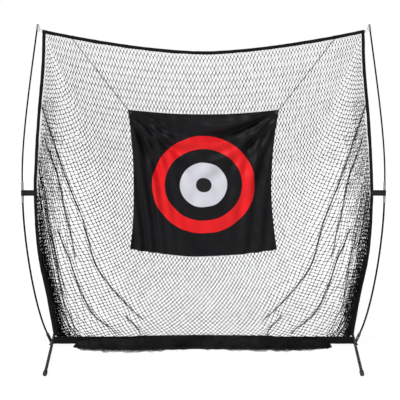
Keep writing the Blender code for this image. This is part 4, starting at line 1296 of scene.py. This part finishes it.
def make_studio():
    """A white floor that runs into a white background, under a broad soft light."""
    made, tree, shader = new_material("studio_floor", Roughness=0.95, Specular_IOR_Level=0.1)
    paper = noise(tree, place_of(tree), 3.0)
    colour = blend_colour(tree, paper, (0.10, 0.10, 0.10), (0.13, 0.13, 0.13))
    tree.links.new(colour, shader.inputs["Base Color"])
    shader.inputs["Emission Color"].default_value = (1.0, 1.0, 1.0, 1.0)
    shader.inputs["Emission Strength"].default_value = FLOOR_GLOW
    corners = [(-40, -40, 0), (40, -40, 0), (40, 40, 0), (-40, 40, 0)]
    floor = mesh_of("studio_floor", corners, [(0, 1, 2, 3)], made)
    world = bpy.data.worlds.new("studio")
    bpy.context.scene.world = world
    world.use_nodes = True
    tree = world.node_tree
    sky = tree.nodes["Background"]
    sky.inputs["Color"].default_value = (1.0, 1.0, 1.0, 1.0)
    seen = node(tree, "LightPath").outputs["Is Camera Ray"]
    tree.links.new(spread(tree, seen, 0.0, 1.0, WORLD_LIGHT, 1.0), sky.inputs["Strength"])
    make_lamp("sun", "SUN", (-2.2, -2.0, 3.3), (0.0, 0.0, 0.9), SUN_LIGHT, math.radians(18))
    make_lamp("fill", "AREA", (2.6, -3.0, 2.6), (0.0, 0.0, 1.0), FILL_LIGHT, 2.2)


make_camera()
make_studio()

TWINE = twine_material("netting_twine", 1.0)
TAPE = woven_material("tape_webbing", (0.003, 0.003, 0.0033), (0.009, 0.009, 0.0095), 0.0012)
SLEEVE = woven_material("sleeve_cloth", (0.002, 0.002, 0.0022), (0.007, 0.007, 0.0075), 0.0009)
THREAD = thread_material("black_thread", (0.010, 0.010, 0.011))
STRAP_THREAD = thread_material("strap_thread", (0.016, 0.016, 0.017))
CORD = braid_material("black_braid", (0.003, 0.003, 0.0033), (0.012, 0.012, 0.013))
ELASTIC = braid_material("pale_braid", (0.46, 0.45, 0.43), (0.74, 0.73, 0.70))
STRAP = strap_material()
SPRING = plated_steel("spring_strip", (0.38, 0.38, 0.40), (0.56, 0.56, 0.57), 0.22)
ZINC = plated_steel("zinc_plate", (0.30, 0.30, 0.31), (0.46, 0.46, 0.47), 0.30)

make_netting(TWINE)
# the roll's twine is painted 2.2 times paler than the same twine elsewhere: painted sheen on the bunched
# netting
make_roll(twine_material("bunched_twine_painted_sheen", 2.2), bundle_material())
make_tapes(TAPE, THREAD)
make_sleeve(SLEEVE, THREAD)
make_target(target_material(), THREAD)
for side, word in SIDES:
    make_target_cord(side, word, CORD)
    make_tie(side, word, CORD)
    make_strap(side, word, STRAP, STRAP_THREAD)
    make_corner_loop(side, word, ELASTIC)
finish_nodes(
    (
        (("foot_cap",), rubber()),
        (("leg_", "target_grommet", "hub_plate", "pole_socket", "bar_stub", "bottom_bar"), powder_coat()),
        (("pole_lower", "pole_upper"), fibreglass()),
        (("coupler_spring", "stub_spring"), SPRING),
        (("pivot_", "bar_coupler", "coupler_button", "stub_button"), ZINC),
        (("ferrule", "tip_cap", "corner_ring"), ZINC),
    )
)
